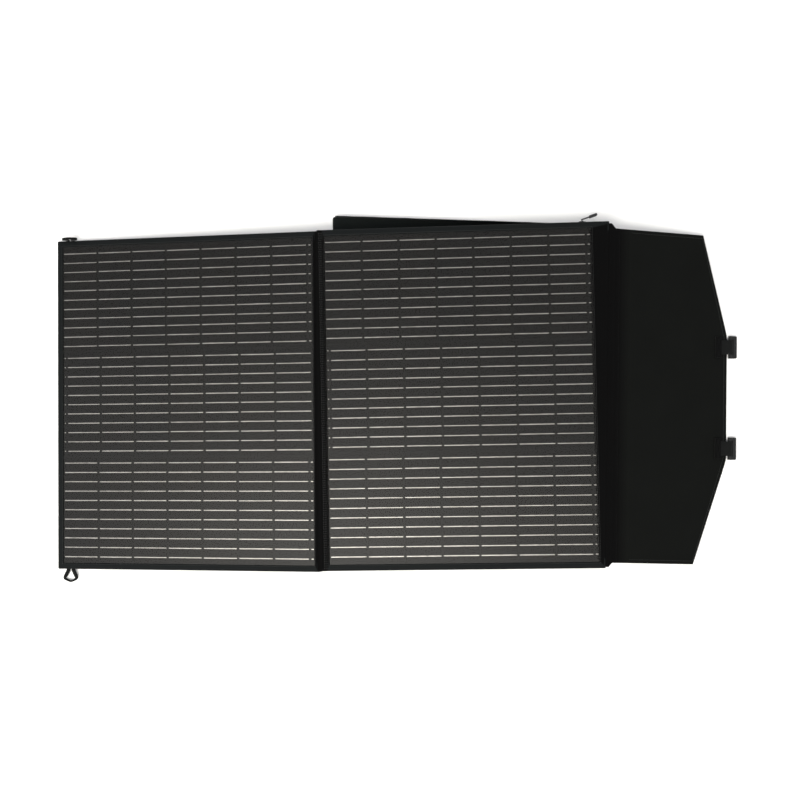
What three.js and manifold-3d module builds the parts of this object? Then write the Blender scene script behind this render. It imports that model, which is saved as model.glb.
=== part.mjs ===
// Folding solar suitcase, lying open and face up.
//
// Two stiff solar panels are joined by a fabric hinge and fold face to face. A spine strip
// and a closing flap on the free edge of the right panel then wrap round the left one. A
// zipped pouch on the back of the right panel holds the charge controller and props that
// panel off the ground; the left panel and the flap slope down to the ground from it.
//
// Millimetres. +X runs along the open case towards the flap, +Y across it towards the
// mouth of the pouch, +Z up. The origin is the middle of the bounding box, on the ground.
import * as THREE from 'three';
import { mergeVertices } from 'three/addons/utils/BufferGeometryUtils.js';
import Module from 'manifold-3d';

const wasm = await Module();
wasm.setup();

// ---------------------------------------------------------------- driving dimensions

const GAP = 0.3; // between pieces that lie on each other

// solar laminate
const CELL_HEIGHT = 182;
const STRIPS_PER_ROW = 7;
const STRIP_PITCH = 63;
const ROW_PITCH = 185;
const ROW_SHIFTS = [0, 5.4, 0.8]; // sideways shift of the three rows of strips
const ROW_STUB = 4; // ribbon ends that stand past the last strip
const WINDOW_WIDTH = 451;
const WINDOW_HEIGHT = 558;
const LEFT_WINDOW_START = 12; // from the hinge line
const RIGHT_WINDOW_START = 11;

// panels
const HALF_HINGE_GAP = 7.5;
const LEFT_WIDTH = 473.5; // hinge line to outer edge
const RIGHT_WIDTH = 482;
const PANEL_HEIGHT = 579;
const CORNER_RADIUS = 2;
const BORDER_THICKNESS = 1;
const SKIRT_THICKNESS = 1.2;
const SHEET_THICKNESS = 0.7;
const SHEET_MARGIN = 1; // hidden under the border
const CELL_THICKNESS = 0.4;
const BOARD_THICKNESS = 3.5;
const COVER_THICKNESS = 1.2;

// pouch
const POUCH_START = 24.5;
const POUCH_WIDTH = 440;
const POUCH_DEPTH = 35;
const POUCH_LOW_EDGE = -12;
const POUCH_WALL = 2;
const MOUTH_RISE_LEFT = 32; // how far the mouth edge stands past the panel
const MOUTH_RISE_RIGHT = 3;
const TAPE_WIDTH = 9.7;
const TAPE_THICKNESS = 1.2;
const TAPE_END_MARGIN = 3; // the tapes end short of the gussets

// folds
const HINGE_HALF_SPACING = 1.5; // the hinge strip folds along a line on each side of its middle
const HINGE_STRIP_HALF_WIDTH = 4.2;
const HINGE_STRIP_THICKNESS = 1.2;
const SEAM_ABOVE_FACE = 1; // fold line of the spine above the panel's front face
const LEFT_YAW_DEGREES = -0.5; // the fabric hinge lets the left panel lie slightly askew
const LEFT_SHIFT = -1.5; // of the left panel along the hinge
const FLAP_LEAN_DEGREES = 2.05; // the flap's seam leans out towards the pouch mouth

// spine and flap
const SEAM_OFFSET = 3.5;
const SPINE_WIDTH = 30;
const FLAP_HEIGHT = 558;
const FLAP_MIDDLE = -3; // of spine and flap, from the panel's middle
const LONG_EDGE_SHIFT = 1.5;
const LONG_EDGE_SKEW = 0.028; // drop of both long edges per millimetre from the seam
const UPPER_SHOULDER = 134;
const LOWER_SHOULDER = 120;
const FLAP_END = 178.5;
const FLAP_END_HEIGHT = 211;
const FOLD_CLEARANCE = 2;
const SKIN_THICKNESS = 1;
const FLAP_BOARD_THICKNESS = 1.4;

// clips, receivers, loops
const CLIP_SPACING = 172;
const CLIP_WIDTH = 38;
const CLIP_REACH = 15;
const CLIP_THICKNESS = 6;
const CLIP_BAR_RADIUS = 3;
const WEBBING_WIDTH = 25;
const WEBBING_THICKNESS = 2;
const RECEIVER_HEIGHT = 9.5;
const PATCH_WIDTH = 36; // doubled webbing sewn down on the flap behind each tab
const PATCH_LENGTH = 11;
const CLIP_SLOT = 2;
const RECEIVER_LENGTH = 28;
const RECEIVER_RIM = 6;
const RECEIVER_SOCKET_DEPTH = 2.5;
const LOOP_INSET = 23;
const LOOP_REACH = 23;
const LOOP_BAND = 7; // width of the webbing across its end
const UPPER_LOOP_TILT_DEGREES = 92;
const LOWER_LOOP_TILT_DEGREES = -3;

// junction boxes, on the back of each panel
const JUNCTION_WIDTH = 70;
const JUNCTION_LENGTH = 80;
const JUNCTION_HEIGHT = 11;
const JUNCTION_WALL = 2.4;
const JUNCTION_LID = 2;
const JUNCTION_CORNER = 5;
const RIGHT_JUNCTION = [95, 60]; // middle of the box, from the hinge line and the panel's middle
const LEFT_JUNCTION = [-85, 190];
const DIODE_BLOCK_WIDTH = 44;
const DIODE_BLOCK_LENGTH = 28;
const GLAND_RADIUS = 5;
const GLAND_NECK_RADIUS = 3.8;
const GLAND_NUT_LENGTH = 5;
const GLAND_TAPER_LENGTH = 3;
const GLAND_NECK_LENGTH = 4;

// charge controller, on the back of the right panel inside the pouch
const CONTROLLER_WIDTH = 118;
const CONTROLLER_LENGTH = 72;
const CONTROLLER_LEFT = 50; // from the hinge line
const CONTROLLER_LOW = 140; // from the middle of the panel
const CONTROLLER_BASE = 8;
const CONTROLLER_HEIGHT = 26;
const CONTROLLER_WALL = 2.5;
const CONTROLLER_FOOT = 18; // solid end that holds the terminals
const DISPLAY_MARGINS = [14, 52, 34, 12]; // from the left, right, low and high edges
const TERMINAL_DEPTH = 14;
const TERMINAL_HEIGHT = 12;
const TERMINAL_MARGIN = 10;
const CIRCUIT_BOARD_THICKNESS = 1.6;
const CIRCUIT_BOARD_SPACE = 2.4; // above the board, for its solder side
const BUTTON_WIDTH = 16;
const BUTTON_LENGTH = 10;
const BUTTON_SPACING = 14;
const BUTTON_RIGHT_MARGIN = 24;
const FIRST_BUTTON = 35; // middle of the lowest button, from the low edge
const BUTTON_CLEARANCE = 0.5;
const BUTTON_STAND = 1.4; // how far the caps stand out

// zip slider and pull
const SLIDER_LENGTH = 11;
const SLIDER_WIDTH = 8;
const SLIDER_THICKNESS = 3.6;
const CROWN_HEIGHT = 1.4;
const CROWN_LENGTH = 3.2;
const PULL_LENGTH = 26;
const PULL_WIDTH = 5.2;
const PULL_THICKNESS = 1.6;
const PULL_TAB_START = 12; // the thick tab follows the thin neck of the pull
const PULL_TAB_THICKNESS = 4.4;
const PULL_STANDOFF = 2.6; // pivot of the pull past the crown
const PULL_ANGLE_DEGREES = 18;

// handle and stands
const HANDLE_REACH = 50;
const HANDLE_SPACING = 116;
const GRIP_LENGTH = 150;
const GRIP_RADIUS = 8;
const STAND_WIDTH = 200;
const STAND_LENGTH = 240;
const STAND_THICKNESS = 4;
const STAND_NARROWING = 30; // of each side over its length
const STAND_HINGE_Y = -28;
const LEFT_STAND_X = -150;
const STAND_STRIP_INSET = 15;
const STAND_STRIP_WIDTH = 12;

// ---------------------------------------------------------------- derived heights

const degrees = THREE.MathUtils.degToRad;
const SHEET_TOP = -(BORDER_THICKNESS + GAP);
const CELLS_TOP = SHEET_TOP - SHEET_THICKNESS - GAP;
const BOARD_TOP = CELLS_TOP - CELL_THICKNESS - GAP;
const COVER_TOP = BOARD_TOP - BOARD_THICKNESS - GAP;
const BACK = COVER_TOP - COVER_THICKNESS; // back face, below the front face at 0
const FACE_HEIGHT = POUCH_DEPTH - BACK;
const SEAM_HEIGHT = FACE_HEIGHT + SEAM_ABOVE_FACE;
const HALF_HEIGHT = PANEL_HEIGHT / 2;
const UNDER_BACK = BACK - GAP;
const FLAP_TOP = -SEAM_ABOVE_FACE;
const FLAP_BOTTOM = FLAP_TOP - 2 * SKIN_THICKNESS - FLAP_BOARD_THICKNESS - 2 * GAP;

// Slope at which a plate hung from a fold line at `height` just touches the ground, where
// `reach` is the distance to its far edge and `drop` the depth of its underside below the line.
function slopeToGround(height, reach, drop) {
  return Math.asin(height / Math.hypot(reach, drop)) - Math.atan(drop / reach);
}

// ---------------------------------------------------------------- materials

function material(color, roughness, metalness = 0) {
  return new THREE.MeshStandardMaterial({ color, roughness, metalness });
}

const shellFabric = material(0x1a1b1a, 0.92);
const borderFabric = material(0x242625, 0.88);
const webbing = material(0x161716, 0.85);
const cellSilicon = material(0x34342f, 0.4);
const clearSheet = new THREE.MeshStandardMaterial({
  color: 0xdfe3e2, roughness: 0.3, transparent: true, opacity: 0.25,
});
const glassFibre = material(0x4a5248, 0.7);
const stiffBoard = material(0x2b2b2b, 0.8);
const blackPlastic = material(0x151515, 0.5);
const darkGreyPlastic = material(0x3a3c3e, 0.55);
const displayPlastic = material(0x5d6b60, 0.2);
const buttonRubber = material(0x8a8d90, 0.7);
const zincAlloy = material(0x6a6b6c, 0.35, 0.9);

// ---------------------------------------------------------------- shape helpers

const assembly = new THREE.Group();

function addPart(parent, name, geometry, surface) {
  const mesh = new THREE.Mesh(geometry, surface);
  mesh.name = name;
  parent.add(mesh);
  return mesh;
}

function addGroup(parent, x = 0, y = 0, z = 0) {
  const group = new THREE.Group();
  group.position.set(x, y, z);
  parent.add(group);
  return group;
}

// Closed anticlockwise outline through the points, with corners rounded to about the radius.
function roundedOutline(points, radius) {
  const corners = THREE.ShapeUtils.isClockWise(points) ? [...points].reverse() : points;
  const outline = new THREE.Shape();
  corners.forEach((corner, index) => {
    const before = corners.at(index - 1);
    const after = corners[(index + 1) % corners.length];
    const entry = corner.clone().add(before.clone().sub(corner).setLength(radius));
    const exit = corner.clone().add(after.clone().sub(corner).setLength(radius));
    if (index === 0) outline.moveTo(entry.x, entry.y);
    else outline.lineTo(entry.x, entry.y);
    outline.quadraticCurveTo(corner.x, corner.y, exit.x, exit.y);
  });
  return outline;
}

function rectangle(x0, x1, y0, y1, radius) {
  const corners = [[x0, y0], [x1, y0], [x1, y1], [x0, y1]];
  return roundedOutline(corners.map(([x, y]) => new THREE.Vector2(x, y)), radius);
}

// Flat plate with the given outline between two heights.
function plate(outline, low, high, curveSegments = 3) {
  const options = { depth: high - low, bevelEnabled: false, curveSegments };
  return new THREE.ExtrudeGeometry(outline, options).translate(0, 0, low);
}

function block(x0, x1, y0, y1, z0, z1) {
  const geometry = new THREE.BoxGeometry(x1 - x0, y1 - y0, z1 - z0);
  return geometry.translate((x0 + x1) / 2, (y0 + y1) / 2, (z0 + z1) / 2);
}

function ring(outline, hole, low, high) {
  const shape = outline.clone();
  shape.holes.push(hole);
  return plate(shape, low, high);
}

// Geometry as a solid that can be joined and cut.
function toSolid(geometry) {
  const bare = geometry.clone();
  bare.deleteAttribute('normal');
  bare.deleteAttribute('uv');
  const merged = mergeVertices(bare, 1e-4);
  const vertProperties = merged.attributes.position.array;
  const triVerts = new Uint32Array(merged.index.array);
  return new wasm.Manifold(new wasm.Mesh({ numProp: 3, vertProperties, triVerts }));
}

function toGeometry(solid) {
  const mesh = solid.getMesh();
  const geometry = new THREE.BufferGeometry();
  geometry.setAttribute('position', new THREE.BufferAttribute(mesh.vertProperties, 3));
  geometry.setIndex(new THREE.BufferAttribute(mesh.triVerts, 1));
  geometry.computeVertexNormals();
  return geometry;
}

function join(...geometries) {
  return toGeometry(geometries.map(toSolid).reduce((whole, next) => whole.add(next)));
}

function cut(geometry, ...tools) {
  return toGeometry(tools.map(toSolid).reduce((whole, tool) => whole.subtract(tool), toSolid(geometry)));
}

// ---------------------------------------------------------------- solar panels

// A panel in its own frame: the hinge line is at x = 0, the front face at z = 0, and
// `side` is the way it extends, -1 for the left panel and 1 for the right one.
function panelOutline(side, width, inset, lean = 0) {
  const inner = HALF_HINGE_GAP + inset;
  const edge = HALF_HEIGHT - inset;
  const outer = (y) => width - inset + y * Math.tan(lean);
  const corners = [[inner, -edge], [outer(-edge), -edge], [outer(edge), edge], [inner, edge]];
  return roundedOutline(corners.map(([x, y]) => new THREE.Vector2(side * x, y)), CORNER_RADIUS);
}

function buildPanel(parent, name, side, width, windowStart, lean) {
  const outline = (inset) => panelOutline(side, width, inset, lean);
  const windowCentre = side * (windowStart + WINDOW_WIDTH / 2);
  const windowRectangle = (margin) => rectangle(
    windowCentre - WINDOW_WIDTH / 2 - margin, windowCentre + WINDOW_WIDTH / 2 + margin,
    -WINDOW_HEIGHT / 2 - margin, WINDOW_HEIGHT / 2 + margin, 1);

  const frontBand = ring(outline(0), windowRectangle(0), -BORDER_THICKNESS, 0);
  const skirt = ring(outline(0), outline(SKIRT_THICKNESS), COVER_TOP + GAP, -BORDER_THICKNESS);
  addPart(parent, `${name}_border`, join(frontBand, skirt), borderFabric);

  const sheet = plate(windowRectangle(SHEET_MARGIN), SHEET_TOP - SHEET_THICKNESS, SHEET_TOP);
  addPart(parent, `${name}_front_sheet`, sheet, clearSheet);

  const rowStart = windowCentre - STRIPS_PER_ROW * STRIP_PITCH / 2;
  ROW_SHIFTS.forEach((shift, row) => {
    const middle = (1 - row) * ROW_PITCH;
    const left = rowStart - ROW_STUB + shift;
    const right = rowStart + STRIPS_PER_ROW * STRIP_PITCH + shift - ROW_STUB;
    const cells = block(left, right, middle - CELL_HEIGHT / 2, middle + CELL_HEIGHT / 2,
      CELLS_TOP - CELL_THICKNESS, CELLS_TOP);
    addPart(parent, `${name}_cell_row_${'abc'[row]}`, cells, cellSilicon);
  });

  const inset = SKIRT_THICKNESS + GAP;
  addPart(parent, `${name}_board`, plate(outline(inset), BOARD_TOP - BOARD_THICKNESS, BOARD_TOP), glassFibre);
  addPart(parent, `${name}_back_cover`, plate(outline(0), BACK, COVER_TOP), shellFabric);
}

// Junction box glued to the back of a panel, with its lid below and a cable gland at one end.
function buildJunctionBox(parent, name, [x, y]) {
  const x0 = x - JUNCTION_WIDTH / 2;
  const x1 = x + JUNCTION_WIDTH / 2;
  const y0 = y - JUNCTION_LENGTH / 2;
  const y1 = y + JUNCTION_LENGTH / 2;
  const low = UNDER_BACK - JUNCTION_HEIGHT;
  const outline = rectangle(x0, x1, y0, y1, JUNCTION_CORNER);
  const hollow = block(x0 + JUNCTION_WALL, x1 - JUNCTION_WALL, y0 + JUNCTION_WALL, y1 - JUNCTION_WALL,
    low - 1, UNDER_BACK - JUNCTION_WALL);
  addPart(parent, `${name}_junction_box`, cut(plate(outline, low, UNDER_BACK), hollow), blackPlastic);
  addPart(parent, `${name}_junction_lid`, plate(outline, low - GAP - JUNCTION_LID, low - GAP), blackPlastic);

  const diodeBlock = block(x - DIODE_BLOCK_WIDTH / 2, x + DIODE_BLOCK_WIDTH / 2,
    y - DIODE_BLOCK_LENGTH / 2, y + DIODE_BLOCK_LENGTH / 2,
    low + JUNCTION_LID, UNDER_BACK - JUNCTION_WALL - GAP);
  addPart(parent, `${name}_diode_block`, diodeBlock, darkGreyPlastic);

  const neck = GLAND_NUT_LENGTH + GLAND_TAPER_LENGTH;
  const tip = neck + GLAND_NECK_LENGTH;
  const profile = [[0, 0], [GLAND_RADIUS, 0], [GLAND_RADIUS, GLAND_NUT_LENGTH], [GLAND_NECK_RADIUS, neck],
    [GLAND_NECK_RADIUS, tip], [0, tip]].map(([radius, along]) => new THREE.Vector2(radius, along));
  addPart(parent, `${name}_cable_gland`, new THREE.LatheGeometry(profile, 16), blackPlastic)
    .position.set(x, y1 + GAP, (low + UNDER_BACK) / 2);
}

// Fold-out support board, held to the back by a sewn strip along its upper edge.
function buildStand(parent, name, x) {
  const stripStart = STAND_HINGE_Y + FOLD_CLEARANCE;
  const stripHalf = STAND_WIDTH / 2 - STAND_STRIP_INSET;
  const strip = block(x - stripHalf, x + stripHalf, stripStart, stripStart + STAND_STRIP_WIDTH,
    UNDER_BACK - HINGE_STRIP_THICKNESS, UNDER_BACK);
  addPart(parent, `${name}_stand_hinge_strip`, strip, webbing);

  const top = STAND_HINGE_Y - FOLD_CLEARANCE;
  const corners = [
    [x - STAND_WIDTH / 2, top], [x + STAND_WIDTH / 2, top],
    [x + STAND_WIDTH / 2 - STAND_NARROWING, top - STAND_LENGTH],
    [x - STAND_WIDTH / 2 + STAND_NARROWING, top - STAND_LENGTH],
  ].map(([px, py]) => new THREE.Vector2(px, py));
  const board = plate(roundedOutline(corners, 12), UNDER_BACK - STAND_THICKNESS, UNDER_BACK);
  addPart(parent, `${name}_stand_board`, board, shellFabric);
}

// ---------------------------------------------------------------- right panel and pouch

const rightPanel = addGroup(assembly, 0, 0, FACE_HEIGHT);
const FLAP_LEAN = degrees(FLAP_LEAN_DEGREES);
buildPanel(rightPanel, 'right', 1, RIGHT_WIDTH, RIGHT_WINDOW_START, FLAP_LEAN);
buildJunctionBox(rightPanel, 'right', RIGHT_JUNCTION);
buildStand(rightPanel, 'right', RIGHT_WIDTH / 2);

const POUCH_END = POUCH_START + POUCH_WIDTH;
const POUCH_FLOOR = BACK - POUCH_DEPTH;
const MOUTH_LEAN = Math.atan((MOUTH_RISE_LEFT - MOUTH_RISE_RIGHT) / POUCH_WIDTH);

function buildPouch(parent) {
  const wallTop = POUCH_FLOOR + POUCH_WALL;
  const corners = [
    [POUCH_START, POUCH_LOW_EDGE], [POUCH_END, POUCH_LOW_EDGE],
    [POUCH_END, HALF_HEIGHT + MOUTH_RISE_RIGHT], [POUCH_START, HALF_HEIGHT + MOUTH_RISE_LEFT],
  ].map(([x, y]) => new THREE.Vector2(x, y));
  addPart(parent, 'pouch_outer_wall', plate(roundedOutline(corners, 3), POUCH_FLOOR, wallTop), shellFabric);

  const gussetLow = wallTop + GAP;
  const gussetStart = POUCH_LOW_EDGE + POUCH_WALL + GAP;
  const gussetEnd = HALF_HEIGHT - TAPE_END_MARGIN;
  for (const [name, x] of [['left', POUCH_START], ['right', POUCH_END - POUCH_WALL]]) {
    const gusset = block(x, x + POUCH_WALL, gussetStart, gussetEnd, gussetLow, UNDER_BACK);
    addPart(parent, `pouch_${name}_gusset`, gusset, shellFabric);
  }
  const lowGusset = block(POUCH_START, POUCH_END, POUCH_LOW_EDGE, POUCH_LOW_EDGE + POUCH_WALL,
    gussetLow, UNDER_BACK);
  addPart(parent, 'pouch_low_gusset', lowGusset, shellFabric);

  const innerInset = POUCH_WALL + TAPE_END_MARGIN;
  const innerTape = block(POUCH_START + innerInset, POUCH_END - innerInset, HALF_HEIGHT - TAPE_WIDTH - 1,
    HALF_HEIGHT - 1, UNDER_BACK - TAPE_THICKNESS, UNDER_BACK);
  addPart(parent, 'zip_tape_inner', innerTape, webbing);

  // The outer tape stands along the mouth edge of the outer wall; the slider rides on its
  // outer side, and the pull swings in front of the slider.
  const mouth = addGroup(parent, POUCH_END, HALF_HEIGHT + MOUTH_RISE_RIGHT, gussetLow);
  mouth.rotation.z = -MOUTH_LEAN;
  const tapeEnd = -TAPE_END_MARGIN;
  const tapeLength = POUCH_WIDTH / Math.cos(MOUTH_LEAN) - 2 * TAPE_END_MARGIN;
  const tapeFace = -0.5;
  const outerTape = block(tapeEnd - tapeLength, tapeEnd, tapeFace - TAPE_THICKNESS, tapeFace, 0, TAPE_WIDTH);
  addPart(mouth, 'zip_tape_outer', outerTape, webbing);

  const slider = addGroup(mouth, tapeEnd - SLIDER_WIDTH - 1, tapeFace + GAP, TAPE_WIDTH - 1);
  const bodyOutline = rectangle(-SLIDER_LENGTH / 2, SLIDER_LENGTH / 2,
    -SLIDER_WIDTH / 2, SLIDER_WIDTH / 2, 2);
  const crownTop = SLIDER_THICKNESS + CROWN_HEIGHT;
  const crown = block(-CROWN_LENGTH / 2, CROWN_LENGTH / 2, -PULL_WIDTH / 2, PULL_WIDTH / 2,
    SLIDER_THICKNESS, crownTop);
  const sliderShape = join(plate(bodyOutline, 0, SLIDER_THICKNESS), crown).rotateX(-Math.PI / 2);
  addPart(slider, 'zip_slider', sliderShape, zincAlloy);

  const pull = addGroup(slider, 0, crownTop + PULL_STANDOFF, 0);
  pull.rotation.z = MOUTH_LEAN + degrees(PULL_ANGLE_DEGREES);
  const neck = rectangle(-2, PULL_TAB_START + 1, -PULL_WIDTH / 2, PULL_WIDTH / 2, 1);
  const tab = rectangle(PULL_TAB_START, PULL_LENGTH, -PULL_TAB_THICKNESS / 2, PULL_TAB_THICKNESS / 2, 1.5);
  const neckPlate = plate(neck, -PULL_THICKNESS / 2, PULL_THICKNESS / 2).rotateX(Math.PI / 2);
  const pullShape = join(neckPlate, plate(tab, -PULL_WIDTH / 2, PULL_WIDTH / 2));
  addPart(pull, 'zip_pull', pullShape, zincAlloy);
}

// ---------------------------------------------------------------- charge controller

function buildController(parent) {
  const x0 = CONTROLLER_LEFT;
  const x1 = x0 + CONTROLLER_WIDTH;
  const y0 = CONTROLLER_LOW;
  const y1 = y0 + CONTROLLER_LENGTH;
  const baseLow = UNDER_BACK - CONTROLLER_BASE;
  const front = UNDER_BACK - CONTROLLER_HEIGHT;
  const innerFront = front + CONTROLLER_WALL;
  const outline = rectangle(x0, x1, y0, y1, 4);
  addPart(parent, 'controller_base', plate(outline, baseLow, UNDER_BACK), darkGreyPlastic);

  // A rectangular region of the front, given by its distances from the four edges.
  const region = (left, right, low, high, margin, z0, z1) =>
    block(x0 + left + margin, x1 - right - margin, y0 + low + margin, y1 - high - margin, z0, z1);
  const hollow = region(3, 3, CONTROLLER_FOOT, 3, 0, innerFront, baseLow);
  const display = (margin, z0, z1) => region(...DISPLAY_MARGINS, margin, z0, z1);
  const terminals = (margin, low, z0, z1) =>
    region(TERMINAL_MARGIN, TERMINAL_MARGIN, low, CONTROLLER_LENGTH - TERMINAL_DEPTH, margin, z0, z1);
  const button = (index, margin, z0, z1) => {
    const middle = FIRST_BUTTON + index * BUTTON_SPACING;
    return region(CONTROLLER_WIDTH - BUTTON_RIGHT_MARGIN - BUTTON_WIDTH, BUTTON_RIGHT_MARGIN,
      middle - BUTTON_LENGTH / 2, CONTROLLER_LENGTH - middle - BUTTON_LENGTH / 2, margin, z0, z1);
  };
  const buttonNames = ['button_menu', 'button_down', 'button_up'];

  const through = [front - 1, innerFront + 1];
  const bayFront = innerFront + GAP;
  const bayBack = innerFront + TERMINAL_HEIGHT;
  const cover = cut(plate(outline, front, baseLow - GAP), hollow, display(0, ...through),
    terminals(0, -1, bayFront, bayBack), ...buttonNames.map((_, index) => button(index, 0, ...through)));
  addPart(parent, 'controller_cover', cover, darkGreyPlastic);

  const boardTop = baseLow - GAP - CIRCUIT_BOARD_SPACE;
  const circuitBoard = region(5, 5, CONTROLLER_FOOT + 2, 5, 0, boardTop - CIRCUIT_BOARD_THICKNESS, boardTop);
  addPart(parent, 'controller_circuit_board', circuitBoard, glassFibre);
  addPart(parent, 'controller_display', display(GAP, front + 0.4, innerFront + 0.5), displayPlastic);
  const terminalBlock = terminals(GAP, 1, bayFront + GAP, bayBack - GAP);
  addPart(parent, 'controller_terminals', terminalBlock, blackPlastic);
  buttonNames.forEach((name, index) => {
    const cap = button(index, BUTTON_CLEARANCE, front - BUTTON_STAND, innerFront);
    addPart(parent, name, cap, buttonRubber);
  });
}

buildPouch(rightPanel);
buildController(rightPanel);

// ---------------------------------------------------------------- left panel

// The hinge strip takes half of the slope and the left panel the other half.
const LEFT_YAW = degrees(LEFT_YAW_DEGREES);
const leftReach = LEFT_WIDTH * Math.cos(LEFT_YAW) + HALF_HEIGHT * Math.abs(Math.sin(LEFT_YAW));
const farReach = leftReach - HINGE_HALF_SPACING;
const roughSlope = slopeToGround(FACE_HEIGHT, farReach, -BACK);
const stripDrop = 2 * HINGE_HALF_SPACING * Math.sin(roughSlope / 2);
const LEFT_SLOPE = slopeToGround(FACE_HEIGHT - stripDrop, farReach, -BACK);

const stripFold = addGroup(assembly, HINGE_HALF_SPACING, 0, FACE_HEIGHT);
stripFold.rotation.y = -LEFT_SLOPE / 2;
const hingeStrip = block(-HINGE_STRIP_HALF_WIDTH, HINGE_STRIP_HALF_WIDTH, -HALF_HEIGHT + 2, HALF_HEIGHT - 2,
  -HINGE_STRIP_THICKNESS, 0).translate(-HINGE_HALF_SPACING, 0, 0);
addPart(stripFold, 'hinge_strip', hingeStrip, shellFabric);

const leftFold = addGroup(stripFold, -2 * HINGE_HALF_SPACING, 0, 0);
leftFold.rotation.y = -LEFT_SLOPE / 2;
const leftPanel = addGroup(leftFold, HINGE_HALF_SPACING, LEFT_SHIFT, 0);
leftPanel.rotation.z = LEFT_YAW;
buildPanel(leftPanel, 'left', -1, LEFT_WIDTH, LEFT_WINDOW_START, 0);
buildJunctionBox(leftPanel, 'left', LEFT_JUNCTION);
buildStand(leftPanel, 'left', LEFT_STAND_X);

// Bases on the back of the left panel that the flap's clips land on when the case is shut.
function buildReceiver(parent, name, y) {
  const clipDistance = FLAP_END + CLIP_REACH / 2;
  const x = -(RIGHT_WIDTH + SEAM_OFFSET - clipDistance);
  const receiverY = y + FLAP_MIDDLE + clipDistance * Math.sin(FLAP_LEAN) - LEFT_SHIFT;
  const low = UNDER_BACK - RECEIVER_HEIGHT;
  const halfWidth = CLIP_WIDTH / 2 + 2;
  const footprint = (margin, radius) => rectangle(
    x - RECEIVER_LENGTH / 2 + margin, x + RECEIVER_LENGTH / 2 - margin,
    receiverY - halfWidth + margin, receiverY + halfWidth - margin, radius);
  const body = plate(footprint(0, 4), low, UNDER_BACK);
  const socket = plate(footprint(RECEIVER_RIM, 0.5), low - 1, low + RECEIVER_SOCKET_DEPTH);
  addPart(parent, `${name}_clip_receiver`, cut(body, socket), blackPlastic);
}

// Webbing loop sewn into a panel edge: a flat triangular ring with its apex at the edge.
// `outward` is the side it points to along Y and `tilt` its angle above the panel.
function buildLoop(parent, name, outward, tilt) {
  const pivot = addGroup(parent, -(LEFT_WIDTH - LOOP_INSET), outward * (HALF_HEIGHT + 1.5), BACK / 2);
  pivot.rotation.x = outward * tilt;
  const triangle = (halfTop, halfBase, start, end, radius) => {
    const corners = [[-halfTop, start], [-halfBase, end], [halfBase, end], [halfTop, start]];
    return roundedOutline(corners.map(([x, y]) => new THREE.Vector2(x, outward * y)), radius);
  };
  const outer = triangle(8, 13.5, 0.5, LOOP_REACH, 3);
  const hole = triangle(1.5, 7, 5, LOOP_REACH - LOOP_BAND, 1);
  const thickness = WEBBING_THICKNESS;
  addPart(pivot, `${name}_strap_loop`, ring(outer, hole, -thickness / 2, thickness / 2), webbing);
}

buildReceiver(leftPanel, 'upper', CLIP_SPACING / 2);
buildReceiver(leftPanel, 'lower', -CLIP_SPACING / 2);
buildLoop(leftPanel, 'upper', 1, degrees(UPPER_LOOP_TILT_DEGREES));
buildLoop(leftPanel, 'lower', -1, degrees(LOWER_LOOP_TILT_DEGREES));

// ---------------------------------------------------------------- spine and flap

const seam = addGroup(assembly, RIGHT_WIDTH + SEAM_OFFSET, FLAP_MIDDLE, SEAM_HEIGHT);
seam.rotation.z = -FLAP_LEAN;
const spine = addGroup(seam);
spine.rotation.y = slopeToGround(SEAM_HEIGHT, SPINE_WIDTH + FLAP_END, -FLAP_BOTTOM);

// Height of a long edge of spine and flap; `side` is 1 for the upper one and -1 for the lower one.
function longEdge(side, fromSeam) {
  return side * FLAP_HEIGHT / 2 + LONG_EDGE_SHIFT - LONG_EDGE_SKEW * fromSeam;
}

const spineEnds = [FOLD_CLEARANCE, SPINE_WIDTH - FOLD_CLEARANCE];
const spineCorners = [...spineEnds.map((x) => [x, longEdge(-1, x)]),
  ...spineEnds.reverse().map((x) => [x, longEdge(1, x)])];
const spineOutline = roundedOutline(spineCorners.map(([x, y]) => new THREE.Vector2(x, y)), 3);
const linerBottom = FLAP_TOP - SKIN_THICKNESS;
addPart(spine, 'spine_liner', plate(spineOutline, linerBottom, FLAP_TOP), shellFabric);
addPart(spine, 'spine_cover', plate(spineOutline, FLAP_BOTTOM, linerBottom - GAP), shellFabric);

function buildFlap(parent) {
  const outline = (inset) => {
    const edge = (side, x) => [x, longEdge(side, SPINE_WIDTH + x) - side * inset];
    const halfEnd = FLAP_END_HEIGHT / 2 - inset / 2;
    const start = FOLD_CLEARANCE + inset;
    const corners = [edge(-1, start), edge(-1, LOWER_SHOULDER), [FLAP_END - inset, -halfEnd],
      [FLAP_END - inset, halfEnd], edge(1, UPPER_SHOULDER), edge(1, start)];
    return roundedOutline(corners.map(([x, y]) => new THREE.Vector2(x, y)), 5);
  };
  const boardTop = FLAP_TOP - SKIN_THICKNESS - GAP;
  const boardBottom = boardTop - FLAP_BOARD_THICKNESS;
  addPart(parent, 'flap_lining', plate(outline(0), FLAP_TOP - SKIN_THICKNESS, FLAP_TOP), shellFabric);
  addPart(parent, 'flap_board', plate(outline(6), boardBottom, boardTop), stiffBoard);
  addPart(parent, 'flap_cover', plate(outline(0), FLAP_BOTTOM, boardBottom - GAP), shellFabric);
}

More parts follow.
